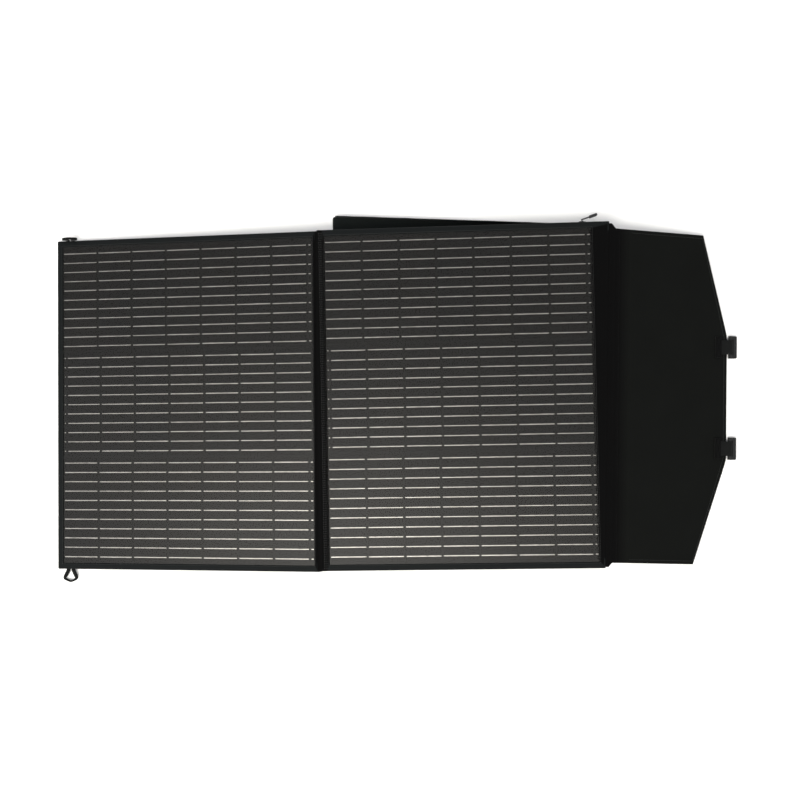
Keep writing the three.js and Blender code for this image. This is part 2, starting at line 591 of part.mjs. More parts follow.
// Webbing tab sewn on the flap, and the moulded clip that swings on its end.
function buildClip(parent, name, y) {
  const tabBottom = FLAP_TOP + GAP;
  const tabTop = tabBottom + WEBBING_THICKNESS;
  const patchEnd = FLAP_END - PATCH_LENGTH;
  const patch = block(patchEnd - PATCH_LENGTH, patchEnd, y - PATCH_WIDTH / 2, y + PATCH_WIDTH / 2,
    tabBottom, tabTop);
  const band = block(patchEnd - 1, FLAP_END + GAP, y - WEBBING_WIDTH / 2, y + WEBBING_WIDTH / 2,
    tabBottom, tabTop);
  addPart(parent, `${name}_clip_webbing`, join(patch, band), webbing);

  const pivot = addGroup(parent, FLAP_END + 2 * GAP + CLIP_BAR_RADIUS, y, tabTop);
  const bar = new THREE.CylinderGeometry(CLIP_BAR_RADIUS, CLIP_BAR_RADIUS, CLIP_WIDTH, 16);
  const plateEnd = CLIP_REACH - CLIP_BAR_RADIUS - 1;
  const body = plate(rectangle(0, plateEnd, -CLIP_WIDTH / 2, CLIP_WIDTH / 2, 2.5),
    -CLIP_THICKNESS / 2 + 0.5, CLIP_THICKNESS / 2 - 0.5);
  const webbingSlot = block(CLIP_BAR_RADIUS, CLIP_BAR_RADIUS + CLIP_SLOT,
    -WEBBING_WIDTH / 2 - 1, WEBBING_WIDTH / 2 + 1, -CLIP_THICKNESS, CLIP_THICKNESS);
  addPart(pivot, `${name}_clip`, cut(join(bar, body), webbingSlot), blackPlastic);
}

const flap = addGroup(spine, SPINE_WIDTH, 0, 0);
buildFlap(flap);
buildClip(flap, 'upper', CLIP_SPACING / 2);
buildClip(flap, 'lower', -CLIP_SPACING / 2);

// Carrying handle on the outer face of the spine. It lies on the ground below the flap.
function buildHandle(parent) {
  const pivotX = SPINE_WIDTH / 2;
  const pivotZ = FLAP_BOTTOM - 2;
  const slope = parent.rotation.y;
  const pivotHeight = SEAM_HEIGHT - pivotX * Math.sin(slope) + pivotZ * Math.cos(slope);
  const dip = Math.asin((pivotHeight - GRIP_RADIUS - GAP) / HANDLE_REACH);
  const handle = addGroup(parent, pivotX, 0, pivotZ);
  handle.rotation.y = dip - slope;

  const strapEnd = HANDLE_REACH - GRIP_RADIUS - GAP;
  for (const [name, y] of [['upper', HANDLE_SPACING / 2], ['lower', -HANDLE_SPACING / 2]]) {
    const strap = block(0, strapEnd, y - WEBBING_WIDTH / 2, y + WEBBING_WIDTH / 2, -1.2, 1.2);
    addPart(handle, `${name}_handle_strap`, strap, webbing);
  }
  const grip = new THREE.CapsuleGeometry(GRIP_RADIUS, GRIP_LENGTH - 2 * GRIP_RADIUS, 4, 14);
  addPart(handle, 'handle_grip', grip, blackPlastic).position.set(HANDLE_REACH, 0, 0);
}

buildHandle(spine);

// ---------------------------------------------------------------- origin

assembly.updateMatrixWorld(true);
const bounds = new THREE.Box3().setFromObject(assembly, true);
const middle = bounds.getCenter(new THREE.Vector3());
assembly.position.set(-middle.x, -middle.y, -bounds.min.z);

export default assembly;
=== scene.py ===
"""Looks of the folding solar suitcase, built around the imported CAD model.

Lengths in this file are millimetres in the local frame of a body, and the meshes are metres.
"""

import math
import random

import bmesh
import bpy
from mathutils import Matrix, Vector, noise

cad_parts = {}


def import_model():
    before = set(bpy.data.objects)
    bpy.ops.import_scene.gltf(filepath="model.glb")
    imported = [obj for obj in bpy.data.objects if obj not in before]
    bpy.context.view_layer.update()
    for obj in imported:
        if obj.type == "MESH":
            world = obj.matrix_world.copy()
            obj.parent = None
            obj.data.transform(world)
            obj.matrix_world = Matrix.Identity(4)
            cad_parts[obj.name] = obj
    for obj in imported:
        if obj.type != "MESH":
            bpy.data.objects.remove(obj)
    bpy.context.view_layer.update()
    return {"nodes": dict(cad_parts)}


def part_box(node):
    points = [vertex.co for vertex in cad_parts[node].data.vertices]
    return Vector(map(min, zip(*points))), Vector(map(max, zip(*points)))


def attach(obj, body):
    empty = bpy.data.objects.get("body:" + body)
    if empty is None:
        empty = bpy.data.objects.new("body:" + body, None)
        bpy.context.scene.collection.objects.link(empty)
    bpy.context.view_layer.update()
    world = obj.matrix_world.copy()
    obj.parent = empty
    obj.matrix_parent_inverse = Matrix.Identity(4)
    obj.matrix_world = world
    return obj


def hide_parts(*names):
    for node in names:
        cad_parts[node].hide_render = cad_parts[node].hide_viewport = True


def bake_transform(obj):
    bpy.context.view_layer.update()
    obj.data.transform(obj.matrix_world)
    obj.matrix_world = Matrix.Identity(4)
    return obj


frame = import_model()
nodes = frame["nodes"]

MM = 0.001

# ---- dimensions of the CAD model

HALF_HINGE_GAP = 7.5
HINGE_HALF_SPACING = 1.5
LEFT_WIDTH = 473.5
RIGHT_WIDTH = 482
HALF_HEIGHT = 289.5
CORNER_RADIUS = 2
WINDOW_WIDTH = 451
WINDOW_HEIGHT = 558
CELLS_TOP = -2.3
CELL_THICKNESS = 0.4
FINGER_PITCH = 1.4
CELL_WIDTH = 60.7
CELL_HEIGHT = 182
STRIPS_PER_ROW = 7
STRIP_PITCH = 63
ROW_PITCH = 185
ROW_SHIFTS = (0, 5.4, 0.8)
ROW_STUB = 4  # length of the short ribbons at one end of a row
PANEL_BACK = -8.0
UNDER_BACK = -8.3
FACE_HEIGHT = 43

LEFT_YAW = math.radians(-0.5)
LEFT_SHIFT = -1.5
FLAP_LEAN = math.radians(2.05)
SEAM_HEIGHT = 44
SEAM_OFFSET = 3.5
SPINE_WIDTH = 30
FLAP_MIDDLE = -3
FLAP_HALF_HEIGHT = 279
LONG_EDGE_SHIFT = 1.5
LONG_EDGE_SKEW = 0.028
UPPER_SHOULDER = 134
LOWER_SHOULDER = 120
FLAP_END = 178.5
FLAP_HALF_END = 105.5
FLAP_TOP = -1.0
FLAP_BOTTOM = -5.0

POUCH_START = 24.5
POUCH_WIDTH = 440
POUCH_FLOOR = -43.0
POUCH_LOW_EDGE = -12
MOUTH_RISE_LEFT = 32
MOUTH_RISE_RIGHT = 3
TAPE_WIDTH = 9.7

CLIP_SPACING = 172
WEBBING_WIDTH = 25
LOOP_INSET = 23
LOOP_REACH = 23
HANDLE_REACH = 50
HANDLE_CLEARANCE = 0.3
HANDLE_SPACING = 116
GRIP_LENGTH = 150
GRIP_RADIUS = 8
STAND_WIDTH = 200
STAND_LENGTH = 240
STAND_NARROWING = 30
STAND_HINGE_Y = -28
LEFT_STAND_X = -150


# ---- local frames of the bodies


def slope_to_ground(height, reach, drop):
    """Slope at which a plate hung from a line at this height just touches the ground."""
    return math.asin(height / math.hypot(reach, drop)) - math.atan(drop / reach)


def moved(parent, x=0, y=0, z=0, axis="Z", angle=0):
    return parent @ Matrix.Translation((x, y, z)) @ Matrix.Rotation(angle, 4, axis)


border_low, border_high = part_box("right_border")
HINGE_X = border_low.x / MM - HALF_HINGE_GAP
MIDDLE_Y = (border_low.y + border_high.y) / 2 / MM
ASSEMBLY = Matrix.Translation((HINGE_X, MIDDLE_Y, 0))
RIGHT = moved(ASSEMBLY, z=FACE_HEIGHT)

left_reach = LEFT_WIDTH * math.cos(LEFT_YAW) + HALF_HEIGHT * abs(math.sin(LEFT_YAW)) - HINGE_HALF_SPACING
strip_drop = 2 * HINGE_HALF_SPACING * math.sin(slope_to_ground(FACE_HEIGHT, left_reach, -PANEL_BACK) / 2)
LEFT_SLOPE = slope_to_ground(FACE_HEIGHT - strip_drop, left_reach, -PANEL_BACK)
STRIP = moved(ASSEMBLY, HINGE_HALF_SPACING, 0, FACE_HEIGHT, "Y", -LEFT_SLOPE / 2)
LEFT_FOLD = moved(STRIP, -2 * HINGE_HALF_SPACING, axis="Y", angle=-LEFT_SLOPE / 2)
LEFT = moved(LEFT_FOLD, HINGE_HALF_SPACING, LEFT_SHIFT, angle=LEFT_YAW)

SEAM = moved(ASSEMBLY, RIGHT_WIDTH + SEAM_OFFSET, FLAP_MIDDLE, SEAM_HEIGHT, angle=-FLAP_LEAN)
FLAP_SLOPE = slope_to_ground(SEAM_HEIGHT, SPINE_WIDTH + FLAP_END, -FLAP_BOTTOM)
SPINE = moved(SEAM, axis="Y", angle=FLAP_SLOPE)
FLAP = moved(SPINE, SPINE_WIDTH)

HANDLE_PIVOT = Vector((SPINE_WIDTH / 2, 0, FLAP_BOTTOM - 2))
handle_height = SEAM_HEIGHT - HANDLE_PIVOT.x * math.sin(FLAP_SLOPE) + HANDLE_PIVOT.z * math.cos(FLAP_SLOPE)
HANDLE_DIP = math.asin((handle_height - GRIP_RADIUS - HANDLE_CLEARANCE) / HANDLE_REACH)
HANDLE = moved(SPINE, *HANDLE_PIVOT, "Y", HANDLE_DIP - FLAP_SLOPE)

POUCH_END = POUCH_START + POUCH_WIDTH
MOUTH_LEAN = math.atan((MOUTH_RISE_LEFT - MOUTH_RISE_RIGHT) / POUCH_WIDTH)
MOUTH = moved(RIGHT, POUCH_END, HALF_HEIGHT + MOUTH_RISE_RIGHT, POUCH_FLOOR + 2.3, angle=-MOUTH_LEAN)

# Side of the hinge, width, lean of the outer edge, start of the window, and shift of the cells in Y.
PANELS = {
    "left": {"frame": LEFT, "side": -1, "width": LEFT_WIDTH, "lean": 0, "window": 12, "field": -0.8},
    "right": {"frame": RIGHT, "side": 1, "width": RIGHT_WIDTH, "lean": FLAP_LEAN, "window": 11, "field": 1.0},
}


def world(frame_matrix, point):
    """Point of a local frame, in metres in the frame of the whole part."""
    return (frame_matrix @ Vector(point)) * MM


# ---- materials


class Shader:
    """A material with one Principled shader, and short ways to add nodes to it."""

    def __init__(self, name, color, roughness, **sockets):
        self.material = bpy.data.materials.new(name)
        self.material.use_nodes = True
        self.tree = self.material.node_tree
        self.principled = self.tree.nodes["Principled BSDF"]
        self.finish(Base_Color=(*color, 1), Roughness=roughness, **sockets)

    def feed(self, target, value):
        """Gives an input a value, or links it to an output."""
        if isinstance(value, bpy.types.NodeSocket):
            self.tree.links.new(value, target)
        else:
            target.default_value = value

    def feed_named(self, node, inputs):
        for key, value in inputs.items():
            self.feed(node.inputs[key.replace("_", " ")], value)
        return node

    def node(self, kind, **inputs):
        return self.feed_named(self.tree.nodes.new(kind), inputs)

    def finish(self, **inputs):
        """Feeds the Principled shader and gives the material."""
        self.feed_named(self.principled, inputs)
        return self.material

    def math(self, operation, *values):
        node = self.tree.nodes.new("ShaderNodeMath")
        node.operation = operation
        for target, value in zip(node.inputs, values):
            self.feed(target, value)
        return node.outputs[0]

    def wave(self, coordinate, length):
        """Sine wave of this length in millimetres."""
        return self.math("SINE", self.math("MULTIPLY", coordinate, 2 * math.pi / (length * MM)))

    def blend(self, first, second, share):
        """Sum of this share of the first value and the rest of the second."""
        return self.math("ADD", self.math("MULTIPLY", first, share), self.math("MULTIPLY", second, 1 - share))

    def place(self, attribute):
        """Coordinates stored on the mesh, in metres, or those of the object."""
        if attribute:
            return self.stored(attribute, "Vector")
        return self.tree.nodes.new("ShaderNodeTexCoord").outputs["Object"]

    def stored(self, attribute, output):
        node = self.tree.nodes.new("ShaderNodeAttribute")
        node.attribute_name = attribute
        return node.outputs[output]

    def noise(self, vector, size, detail=3.0):
        """Noise from 0 to 1 with features about this many millimetres across."""
        scale = 1 / (size * MM)
        return self.node("ShaderNodeTexNoise", Vector=vector, Scale=scale, Detail=detail).outputs["Fac"]

    def bump(self, height, distance, normal=None, strength=1.0):
        """Bump whose full height is this many millimetres."""
        node = self.node("ShaderNodeBump", Height=height, Distance=distance * MM, Strength=strength)
        if normal:
            self.feed(node.inputs["Normal"], normal)
        return node.outputs["Normal"]

    def mix(self, factor, first, second):
        node = self.tree.nodes.new("ShaderNodeMix")
        node.data_type = "RGBA"
        colors = [(*color, 1) if isinstance(color, tuple) else color for color in (first, second)]
        return self.feed_named(node, dict(zip(("Factor", "A", "B"), (factor, *colors)))).outputs["Result"]

    def span(self, value, low, high):
        """Maps 0..1 to low..high."""
        return self.node("ShaderNodeMapRange", Value=value, To_Min=low, To_Max=high).outputs["Result"]


def weave_height(shader, vector, pitch_x, pitch_y):
    """Over-and-under height of a plain weave with threads along X and Y."""
    axes = shader.node("ShaderNodeSeparateXYZ", Vector=vector).outputs
    x_wave = shader.wave(axes["X"], 2 * pitch_x)
    y_wave = shader.wave(axes["Y"], 2 * pitch_y)
    return shader.math("MULTIPLY_ADD", shader.math("MULTIPLY", x_wave, y_wave), 0.5, 0.5)


def fabric(name, dark, light, pitch=0.9, roughness=0.85, specular=0.04, shade=None):
    """Coated woven cloth with a fine plain weave, soft unevenness and slight fading; its colour is darker in
    the weave's hollows, which is painted shade.

    A shade (start, end, tones) gives it two darker tones that end gradually between those X positions.
    """
    shader = Shader(name, dark, roughness, Specular_IOR_Level=specular, Sheen_Weight=0.02,
                    Sheen_Roughness=0.5)
    place = shader.place("cloth")
    weave = weave_height(shader, place, pitch, pitch)
    fading = shader.noise(place, 60, 4)
    # The colour follows the weave's height and is darker in its hollows: painted shade, mixed with the random
    # fading.
    tone = shader.blend(weave, fading, 0.35)
    color = shader.mix(tone, dark, light)
    if shade:
        start, end, tones = shade
        along = shader.node("ShaderNodeSeparateXYZ", Vector=place).outputs["X"]
        share = shader.node("ShaderNodeMapRange", Value=along, From_Min=start * MM, From_Max=end * MM)
        color = shader.mix(share.outputs["Result"], shader.mix(tone, *tones), color)
    fuzz = shader.noise(place, 1.5, 2)
    soft = shader.bump(shader.noise(place, 25, 2), 0.5, strength=0.5)
    return shader.finish(Base_Color=color,
                         Roughness=shader.span(fuzz, roughness - 0.08, roughness + 0.1),
                         Normal=shader.bump(weave, 0.12, soft, strength=0.6))


def webbing(name, dark, light):
    """Narrow woven strap with ribs across it, its colour darker between the ribs as painted shade."""
    shader = Shader(name, dark, 0.75, Specular_IOR_Level=0.08, Sheen_Weight=0.03, Sheen_Roughness=0.45)
    place = shader.place("cloth")
    ribs = weave_height(shader, place, 1.5, 2.6)
    # Colour follows the rib height and is darker between the ribs: painted shade, mixed with random tone.
    tone = shader.blend(ribs, shader.noise(place, 6), 0.5)
    return shader.finish(Base_Color=shader.mix(tone, dark, light),
                         Normal=shader.bump(ribs, 0.3, strength=0.7))


def plastic(name, dark, light, roughness=0.5, grain=0.8, attribute=None, **sockets):
    """Moulded plastic with a fine spark-eroded grain."""
    shader = Shader(name, dark, roughness, **sockets)
    place = shader.place(attribute)
    broad = shader.noise(place, 30, 3)
    return shader.finish(Base_Color=shader.mix(broad, dark, light),
                         Roughness=shader.span(broad, roughness - 0.06, roughness + 0.08),
                         Normal=shader.bump(shader.noise(place, grain, 2), 0.05, strength=0.5))


def clear_film():
    """Clear cover film with a fine texture: mostly see-through, with a soft gloss."""
    shader = Shader("clear_film", (0.003, 0.003, 0.003), 0.46, IOR=1.6, Alpha=0.2)
    place = shader.place(None)
    return shader.finish(Roughness=shader.span(shader.noise(place, 90, 3), 0.43, 0.49),
                         Normal=shader.bump(shader.noise(place, 35, 2), 0.12, strength=0.4))


def silicon():
    """Dark cell surface: printed finger lines, uneven tone, and a tone of its own for each strip."""
    shader = Shader("cell_silicon", (0.004, 0.004, 0.004), 0.5, Specular_IOR_Level=0.05)
    place = shader.place("cloth")
    lines = shader.wave(shader.node("ShaderNodeSeparateXYZ", Vector=place).outputs["X"], FINGER_PITCH)
    tone = shader.blend(shader.stored("tone", "Fac"), shader.noise(place, 45, 3), 0.5)
    return shader.finish(Base_Color=shader.mix(tone, (0.0026, 0.0032, 0.0038), (0.0064, 0.0054, 0.0040)),
                         Normal=shader.bump(lines, 0.005, strength=0.2))


def solder():
    """Tinned ribbon, dull silver with uneven shine."""
    shader = Shader("ribbon_solder", (0.3, 0.29, 0.27), 0.45, Metallic=1.0)
    patches = shader.noise(shader.place("cloth"), 18, 3)
    return shader.finish(Base_Color=shader.mix(patches, (0.42, 0.40, 0.36), (1.0, 0.97, 0.93)),
                         Roughness=shader.span(patches, 0.35, 0.55))


def metal(name, dark, light, roughness):
    shader = Shader(name, dark, roughness, Metallic=0.9)
    scuffs = shader.noise(shader.place(None), 2.5, 4)
    return shader.finish(Base_Color=shader.mix(scuffs, dark, light),
                         Roughness=shader.span(scuffs, roughness - 0.1, roughness + 0.15))


SHELL_TONES = ((0.0028, 0.0031, 0.0028), (0.0046, 0.0051, 0.0047))
FOLD_TONES = ((0.0010, 0.0010, 0.0011), (0.0020, 0.0020, 0.0021))
SHELL = fabric("shell_fabric", *SHELL_TONES)
FOLD = fabric("fold_fabric", *FOLD_TONES, pitch=1.1)
FLAP_SHELL = fabric("flap_fabric", *SHELL_TONES, shade=(SPINE_WIDTH - 17, SPINE_WIDTH + 2, FOLD_TONES))
BORDER = fabric("border_fabric", (0.0032, 0.0041, 0.0045), (0.0055, 0.0068, 0.0071),
                roughness=0.7, specular=0.08)
# Inner face of the pouch's wall, bluish like the border, and lightened to make up for the shade beside the
# panel's edge: partly its own colour, partly painted light.
LINING_PAINTED_LIGHT = fabric("lining_fabric_painted_light", (0.0085, 0.0105, 0.0105), (0.0130, 0.0155, 0.0150))
# Near-black webbing of the patches under the clip straps: its darkness is painted shadow beside the raised
# straps.
PATCH_PAINTED_SHADOW = webbing("patch_webbing_painted_shadow", (0.0006, 0.0007, 0.0007), (0.0018, 0.0020, 0.0020))
STRAP = webbing("webbing", (0.0030, 0.0033, 0.0033), (0.0062, 0.0068, 0.0068))
TAPE = webbing("zip_tape", (0.0080, 0.0095, 0.0100), (0.0150, 0.0175, 0.0180))
DARK_THREAD = plastic("dark_thread", (0.0004, 0.0004, 0.0004), (0.0010, 0.0010, 0.0010), 0.8, 0.4, "cloth",
                      Specular_IOR_Level=0.05)
THREAD = plastic("thread", (0.006, 0.0065, 0.0065), (0.012, 0.013, 0.013), 0.7, 0.4, "cloth")
FILM = clear_film()
SILICON = silicon()
SOLDER = solder()
# Board seen in the gaps between the cells, lighter than the cells so the shade in those gaps doesn't show:
# painted light.
LAMINATE = plastic("laminate_board", (0.0080, 0.0080, 0.0076), (0.0100, 0.0100, 0.0094), 0.7, 1.2,
                   Specular_IOR_Level=0.05)
BLACK_PLASTIC = plastic("black_plastic", (0.0045, 0.0048, 0.0052), (0.0072, 0.0076, 0.0082), 0.62,
                        Specular_IOR_Level=0.25)
GREY_PLASTIC = plastic("grey_plastic", (0.040, 0.042, 0.045), (0.055, 0.058, 0.062), 0.5)
DISPLAY = plastic("display_window", (0.10, 0.13, 0.11), (0.13, 0.16, 0.14), 0.15, 4.0, Coat_Weight=0.6)
RUBBER = plastic("button_rubber", (0.22, 0.23, 0.24), (0.28, 0.29, 0.30), 0.75, 0.5)
ZINC = metal("zinc_alloy", (0.030, 0.030, 0.031), (0.075, 0.075, 0.077), 0.42)


# ---- mesh helpers


def add_mesh(name, vertices, faces, local, material, places=None, smooth=True, tones=None):
    """Mesh from points of a local frame.

    Its attribute "cloth" keeps the places of the points on the unrolled material, in metres.
    Without places, those are the points themselves.
    """
    mesh = bpy.data.meshes.new(name)
    mesh.from_pydata([world(local, v) for v in vertices], [], faces)
    cloth = mesh.attributes.new("cloth", "FLOAT_VECTOR", "POINT")
    cloth.data.foreach_set("vector", [c * MM for p in places or vertices for c in p])
    if tones:
        mesh.attributes.new("tone", "FLOAT", "POINT").data.foreach_set("value", tones)
    mesh.materials.append(material)
    mesh.validate()
    face_outwards(mesh)
    if smooth:
        mesh.shade_smooth()
    piece = bpy.data.objects.new(name, mesh)
    bpy.context.scene.collection.objects.link(piece)
    return piece


def face_outwards(mesh):
    shell = bmesh.new()
    shell.from_mesh(mesh)
    bmesh.ops.recalc_face_normals(shell, faces=shell.faces)
    shell.to_mesh(mesh)
    shell.free()


def recolour(piece, material, chosen):
    """Gives a second material to the faces whose middle, in "cloth" coordinates, is chosen."""
    piece.data.materials.append(material)
    cloth = piece.data.attributes["cloth"].data
    for face in piece.data.polygons:
        middle = sum((cloth[i].vector for i in face.vertices), Vector()) / len(face.vertices) / MM
        if chosen(middle):
            face.material_index = len(piece.data.materials) - 1


def fasten(piece, body, replaced=()):
    """The piece rides on a body and takes the place of CAD nodes, which are hidden."""
    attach(piece, body)
    return describe(piece, replaced)


def describe(piece, replaced=()):
    if replaced:
        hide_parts(*replaced)
    return piece


def ring_faces(rings, per_ring, first=0):
    """Quads between closed rings of points that follow each other."""
    faces = []
    for start in range(first, first + (rings - 1) * per_ring, per_ring):
        for i in range(per_ring):
            a, b = start + i, start + (i + 1) % per_ring
            faces.append((a, b, b + per_ring, a + per_ring))
    return faces


def skin_faces(rings, per_ring, first=0):
    """The same quads, with a face over the first and the last ring."""
    last = first + (rings - 1) * per_ring
    ends = [tuple(range(first, first + per_ring)), tuple(range(last, last + per_ring))]
    return ring_faces(rings, per_ring, first) + ends


def swept(name, rings, local, material, places=None):
    """Closed skin over rings of points that follow each other."""
    vertices = [point for ring in rings for point in ring]
    return add_mesh(name, vertices, skin_faces(len(rings), len(rings[0])), local, material, places)


def rounded_ring(corners, radius, per_side):
    """Closed ring round four corners, always with the same number of points."""
    arcs = []
    for i, corner in enumerate(corners):
        back = (corners[i - 1] - corner).normalized() * radius
        ahead = (corners[(i + 1) % len(corners)] - corner).normalized() * radius
        arcs.append([corner + back * (1 - t) ** 2 + ahead * t ** 2 for t in even(4)])
    ring = []
    for i, arc in enumerate(arcs):
        following = arcs[(i + 1) % len(arcs)][0]
        ring += arc + [arc[-1].lerp(following, k / per_side) for k in range(1, per_side)]
    return ring


def waviness(point, size, amount, seed=0.0):
    """Smooth unevenness of a surface, from its place; each seed gives a pattern of its own."""
    return amount * noise.noise(Vector((point[0] / size, point[1] / size, seed)))


def spread(start, end, step, ends=()):
    """Values from start to end about one step apart, with extra ones at distances from the ends."""
    closest = 0.2
    count = max(2, round((end - start) / step))
    values = [start + (end - start) * i / count for i in range(count + 1)]
    for distance in ends:
        values += [start + distance, end - distance]
    kept = []
    for value in sorted(round(value, 4) for value in values):
        if not kept or value - kept[-1] > closest:
            kept.append(value)
    return kept


def soft_slab(name, local, material, xs, low, high, steps_y, surface, warp=None):
    """Closed soft plate: columns at xs between low(x) and high(x), and two faces.

    surface(x, y, edge) gives the heights of the upper and lower face, where edge is the
    distance to the rim. warp turns a point of the plate into a point of the local frame.
    """
    columns, rows = len(xs), len(steps_y)
    half = columns * rows
    vertices, places = [], []
    for upper in (True, False):
        for x in xs:
            lowest, highest = low(x), high(x)
            for t in steps_y:
                y = lowest + (highest - lowest) * t
                edge = min(x - xs[0], xs[-1] - x, y - lowest, highest - y)
                top, bottom = surface(x, y, edge)
                point = (x, y, top if upper else bottom)
                places.append(point)
                vertices.append(Vector(point) if warp is None else warp(*point))
    faces = []
    for i in range(columns - 1):
        for a in range(i * rows, (i + 1) * rows - 1):
            faces.append((a, a + rows, a + rows + 1, a + 1))
            faces.append((half + a, half + a + 1, half + a + rows + 1, half + a + rows))
    rim = [*range(0, half, rows), *range(half - rows + 1, half)]
    rim += [*range(half - rows - 1, 0, -rows), *range(rows - 2, 0, -1)]
    for a, b in zip(rim, rim[1:] + rim[:1]):
        faces.append((a, half + a, half + b, b))
    return add_mesh(name, vertices, faces, local, material, places)


def even(count, ends=()):
    """Shares from 0 to 1, with extra ones near both ends."""
    shares = {i / count for i in range(count + 1)} | set(ends) | {1 - e for e in ends}
    return sorted(shares)


def edge_round(edge, width):
    """Rises from 0 at the rim to 1 at this distance from it, like a quarter circle."""
    t = min(max(edge / width, 0), 1)
    return math.sqrt(1 - (1 - t) ** 2)


def places_along(points, pitch):
    """Places this far apart along a path, each with the direction of the path there."""
    travelled = 0.0
    following = pitch / 2
    for a, b in zip(points, points[1:]):
        step = (b - a).length
        while following <= travelled + step:
            yield a.lerp(b, (following - travelled) / step), (b - a).normalized()
            following += pitch
        travelled += step


def stitches(name, local, material, paths, pitch=2.8, length=2.1, radius=0.32, warp=None):
    """Sewn lines: a short raised spindle for each stitch along each path of points."""
    up = Vector((0, 0, 1))
    lift = 0.1
    vertices, faces = [], []
    for path in paths:
        for middle, along in places_along([Vector(p) for p in path], pitch):
            first = len(vertices)
            sideways = along.cross(up).normalized()
            for share, size in ((-0.5, 0.35), (-0.25, 1), (0.25, 1), (0.5, 0.35)):
                centre = middle + along * share * length + up * lift
                for side in (sideways, up, -sideways, -up):
                    vertices.append(centre + side * size * radius)
            faces += skin_faces(4, 4, first)
    if warp:
        vertices = [warp(*v) for v in vertices]
    return add_mesh(name, vertices, faces, local, material)


def direction(points, i):
    """Direction of a path at one of its points."""
    return (points[min(i + 1, len(points) - 1)] - points[max(i - 1, 0)]).normalized()


def corner_cut(radius, from_end):
    """How much a rounded corner takes off an edge at this distance from the corner's end."""
    if from_end >= radius:
        return 0
    return radius - math.sqrt(max(radius ** 2 - (radius - from_end) ** 2, 0))


def zigzag(x0, x1, y0, y1, z, step):
    """Path that runs from y0 to y1 and swings between x0 and x1."""
    count = round((y1 - y0) / step)
    return [(x0 if i % 2 else x1, y0 + (y1 - y0) * i / count, z) for i in range(count + 1)]


def round_bar(x, y, z, radius, start, step, count):
    """Path of a strap round a bar along Y; it starts at this angle and turns by this step, in degrees."""
    angles = [math.radians(start - k * step) for k in range(count)]
    return [(x + radius * math.cos(a), y, z + radius * math.sin(a)) for a in angles]


def band(name, local, material, path, width, thickness, across=(0, 1, 0)):
    """Flat strap: a rectangle with rounded edges swept along a path, its width along across."""
    across = Vector(across)
    points = [Vector(p) for p in path]
    profile = [(-0.5, 0.25), (-0.46, 0.5), (-0.2, 0.54), (0.2, 0.54), (0.46, 0.5), (0.5, 0.25),
               (0.5, -0.25), (0.46, -0.5), (0, -0.52), (-0.46, -0.5), (-0.5, -0.25)]
    rings, places = [], []
    travelled = 0.0
    for i, point in enumerate(points):
        if i:
            travelled += (point - points[i - 1]).length
        normal = direction(points, i).cross(across).normalized()
        rings.append([point + across * w * width + normal * t * thickness for w, t in profile])
        places += [(travelled, w * width, 0) for w, _ in profile]
    return swept(name, rings, local, material, places)


def tube(name, local, material, points, radius):
    """Round cord along a path of points."""
    turns = [math.radians(45 * k) for k in range(8)]
    rings = []
    for i, point in enumerate(points):
        along = direction(points, i)
        side = along.cross(Vector((0, 0, 1))).normalized()
        up = side.cross(along)
        rings.append([point + (side * math.cos(a) + up * math.sin(a)) * radius for a in turns])
    return swept(name, rings, local, material)


def boxes(name, local, material, blocks, bevel, tones=()):
    """One mesh of separate boxes, each (x0, x1, y0, y1, z0, z1), with chamfered upper edges."""
    vertices, faces = [], []
    for x0, x1, y0, y1, z0, z1 in blocks:
        faces += skin_faces(3, 4, len(vertices))
        for inset, z in ((0, z0), (0, z1 - bevel), (bevel, z1)):
            vertices += [(x0 + inset, y0 + inset, z), (x1 - inset, y0 + inset, z),
                         (x1 - inset, y1 - inset, z), (x0 + inset, y1 - inset, z)]
    shades = [tone for tone in tones for _ in range(12)]
    return add_mesh(name, vertices, faces, local, material, smooth=False, tones=shades)


def finished(node, material, slot):
    """A CAD node that keeps its shape and gets its material."""
    piece = nodes[node]
    piece.data.materials.clear()
    piece.data.materials.append(material)
    return piece


def rounded(node, material, slot, width):
    """A finished CAD node with soft edges."""
    bevel = finished(node, material, slot).modifiers.new("edges", "BEVEL")
    bevel.width = width * MM
    bevel.segments = 2
    bevel.limit_method = "ANGLE"
    bevel.angle_limit = math.radians(40)
    bevel.use_clamp_overlap = True


# ---- solar laminate

RIBBONS_PER_STRIP = 11
RIBBON_PITCH = 16.4
RIBBON_WIDTH = 1.45
RIBBON_THICKNESS = 0.2
RIBBON_GAP = 4.6  # between the ribbons of two strips
FREE_END = 0.6  # from the end of a row's last ribbon to the edge of its strip


def row_left(panel, row):
    """Left end of the seven strips of a row."""
    centre = panel["side"] * (panel["window"] + WINDOW_WIDTH / 2)
    return centre - STRIPS_PER_ROW * STRIP_PITCH / 2 - ROW_STUB + ROW_SHIFTS[row]


def build_cells(name, panel, chance):
    for row, letter in enumerate("abc"):
        left = row_left(panel, row)
        middle = (1 - row) * ROW_PITCH + panel["field"]
        margin = (STRIP_PITCH - CELL_WIDTH) / 2
        blocks, tones = [], []
        for k in range(STRIPS_PER_ROW):
            x0 = left + k * STRIP_PITCH + margin
            blocks.append((x0, x0 + CELL_WIDTH, middle - CELL_HEIGHT / 2, middle + CELL_HEIGHT / 2,
                           CELLS_TOP - CELL_THICKNESS, CELLS_TOP))
            tones.append(chance.random())
        cells = boxes(f"{name}_cells_{letter}", panel["frame"], SILICON, blocks, bevel=0.05, tones=tones)
        fasten(cells, f"{name}_panel", [f"{name}_cell_row_{letter}"])


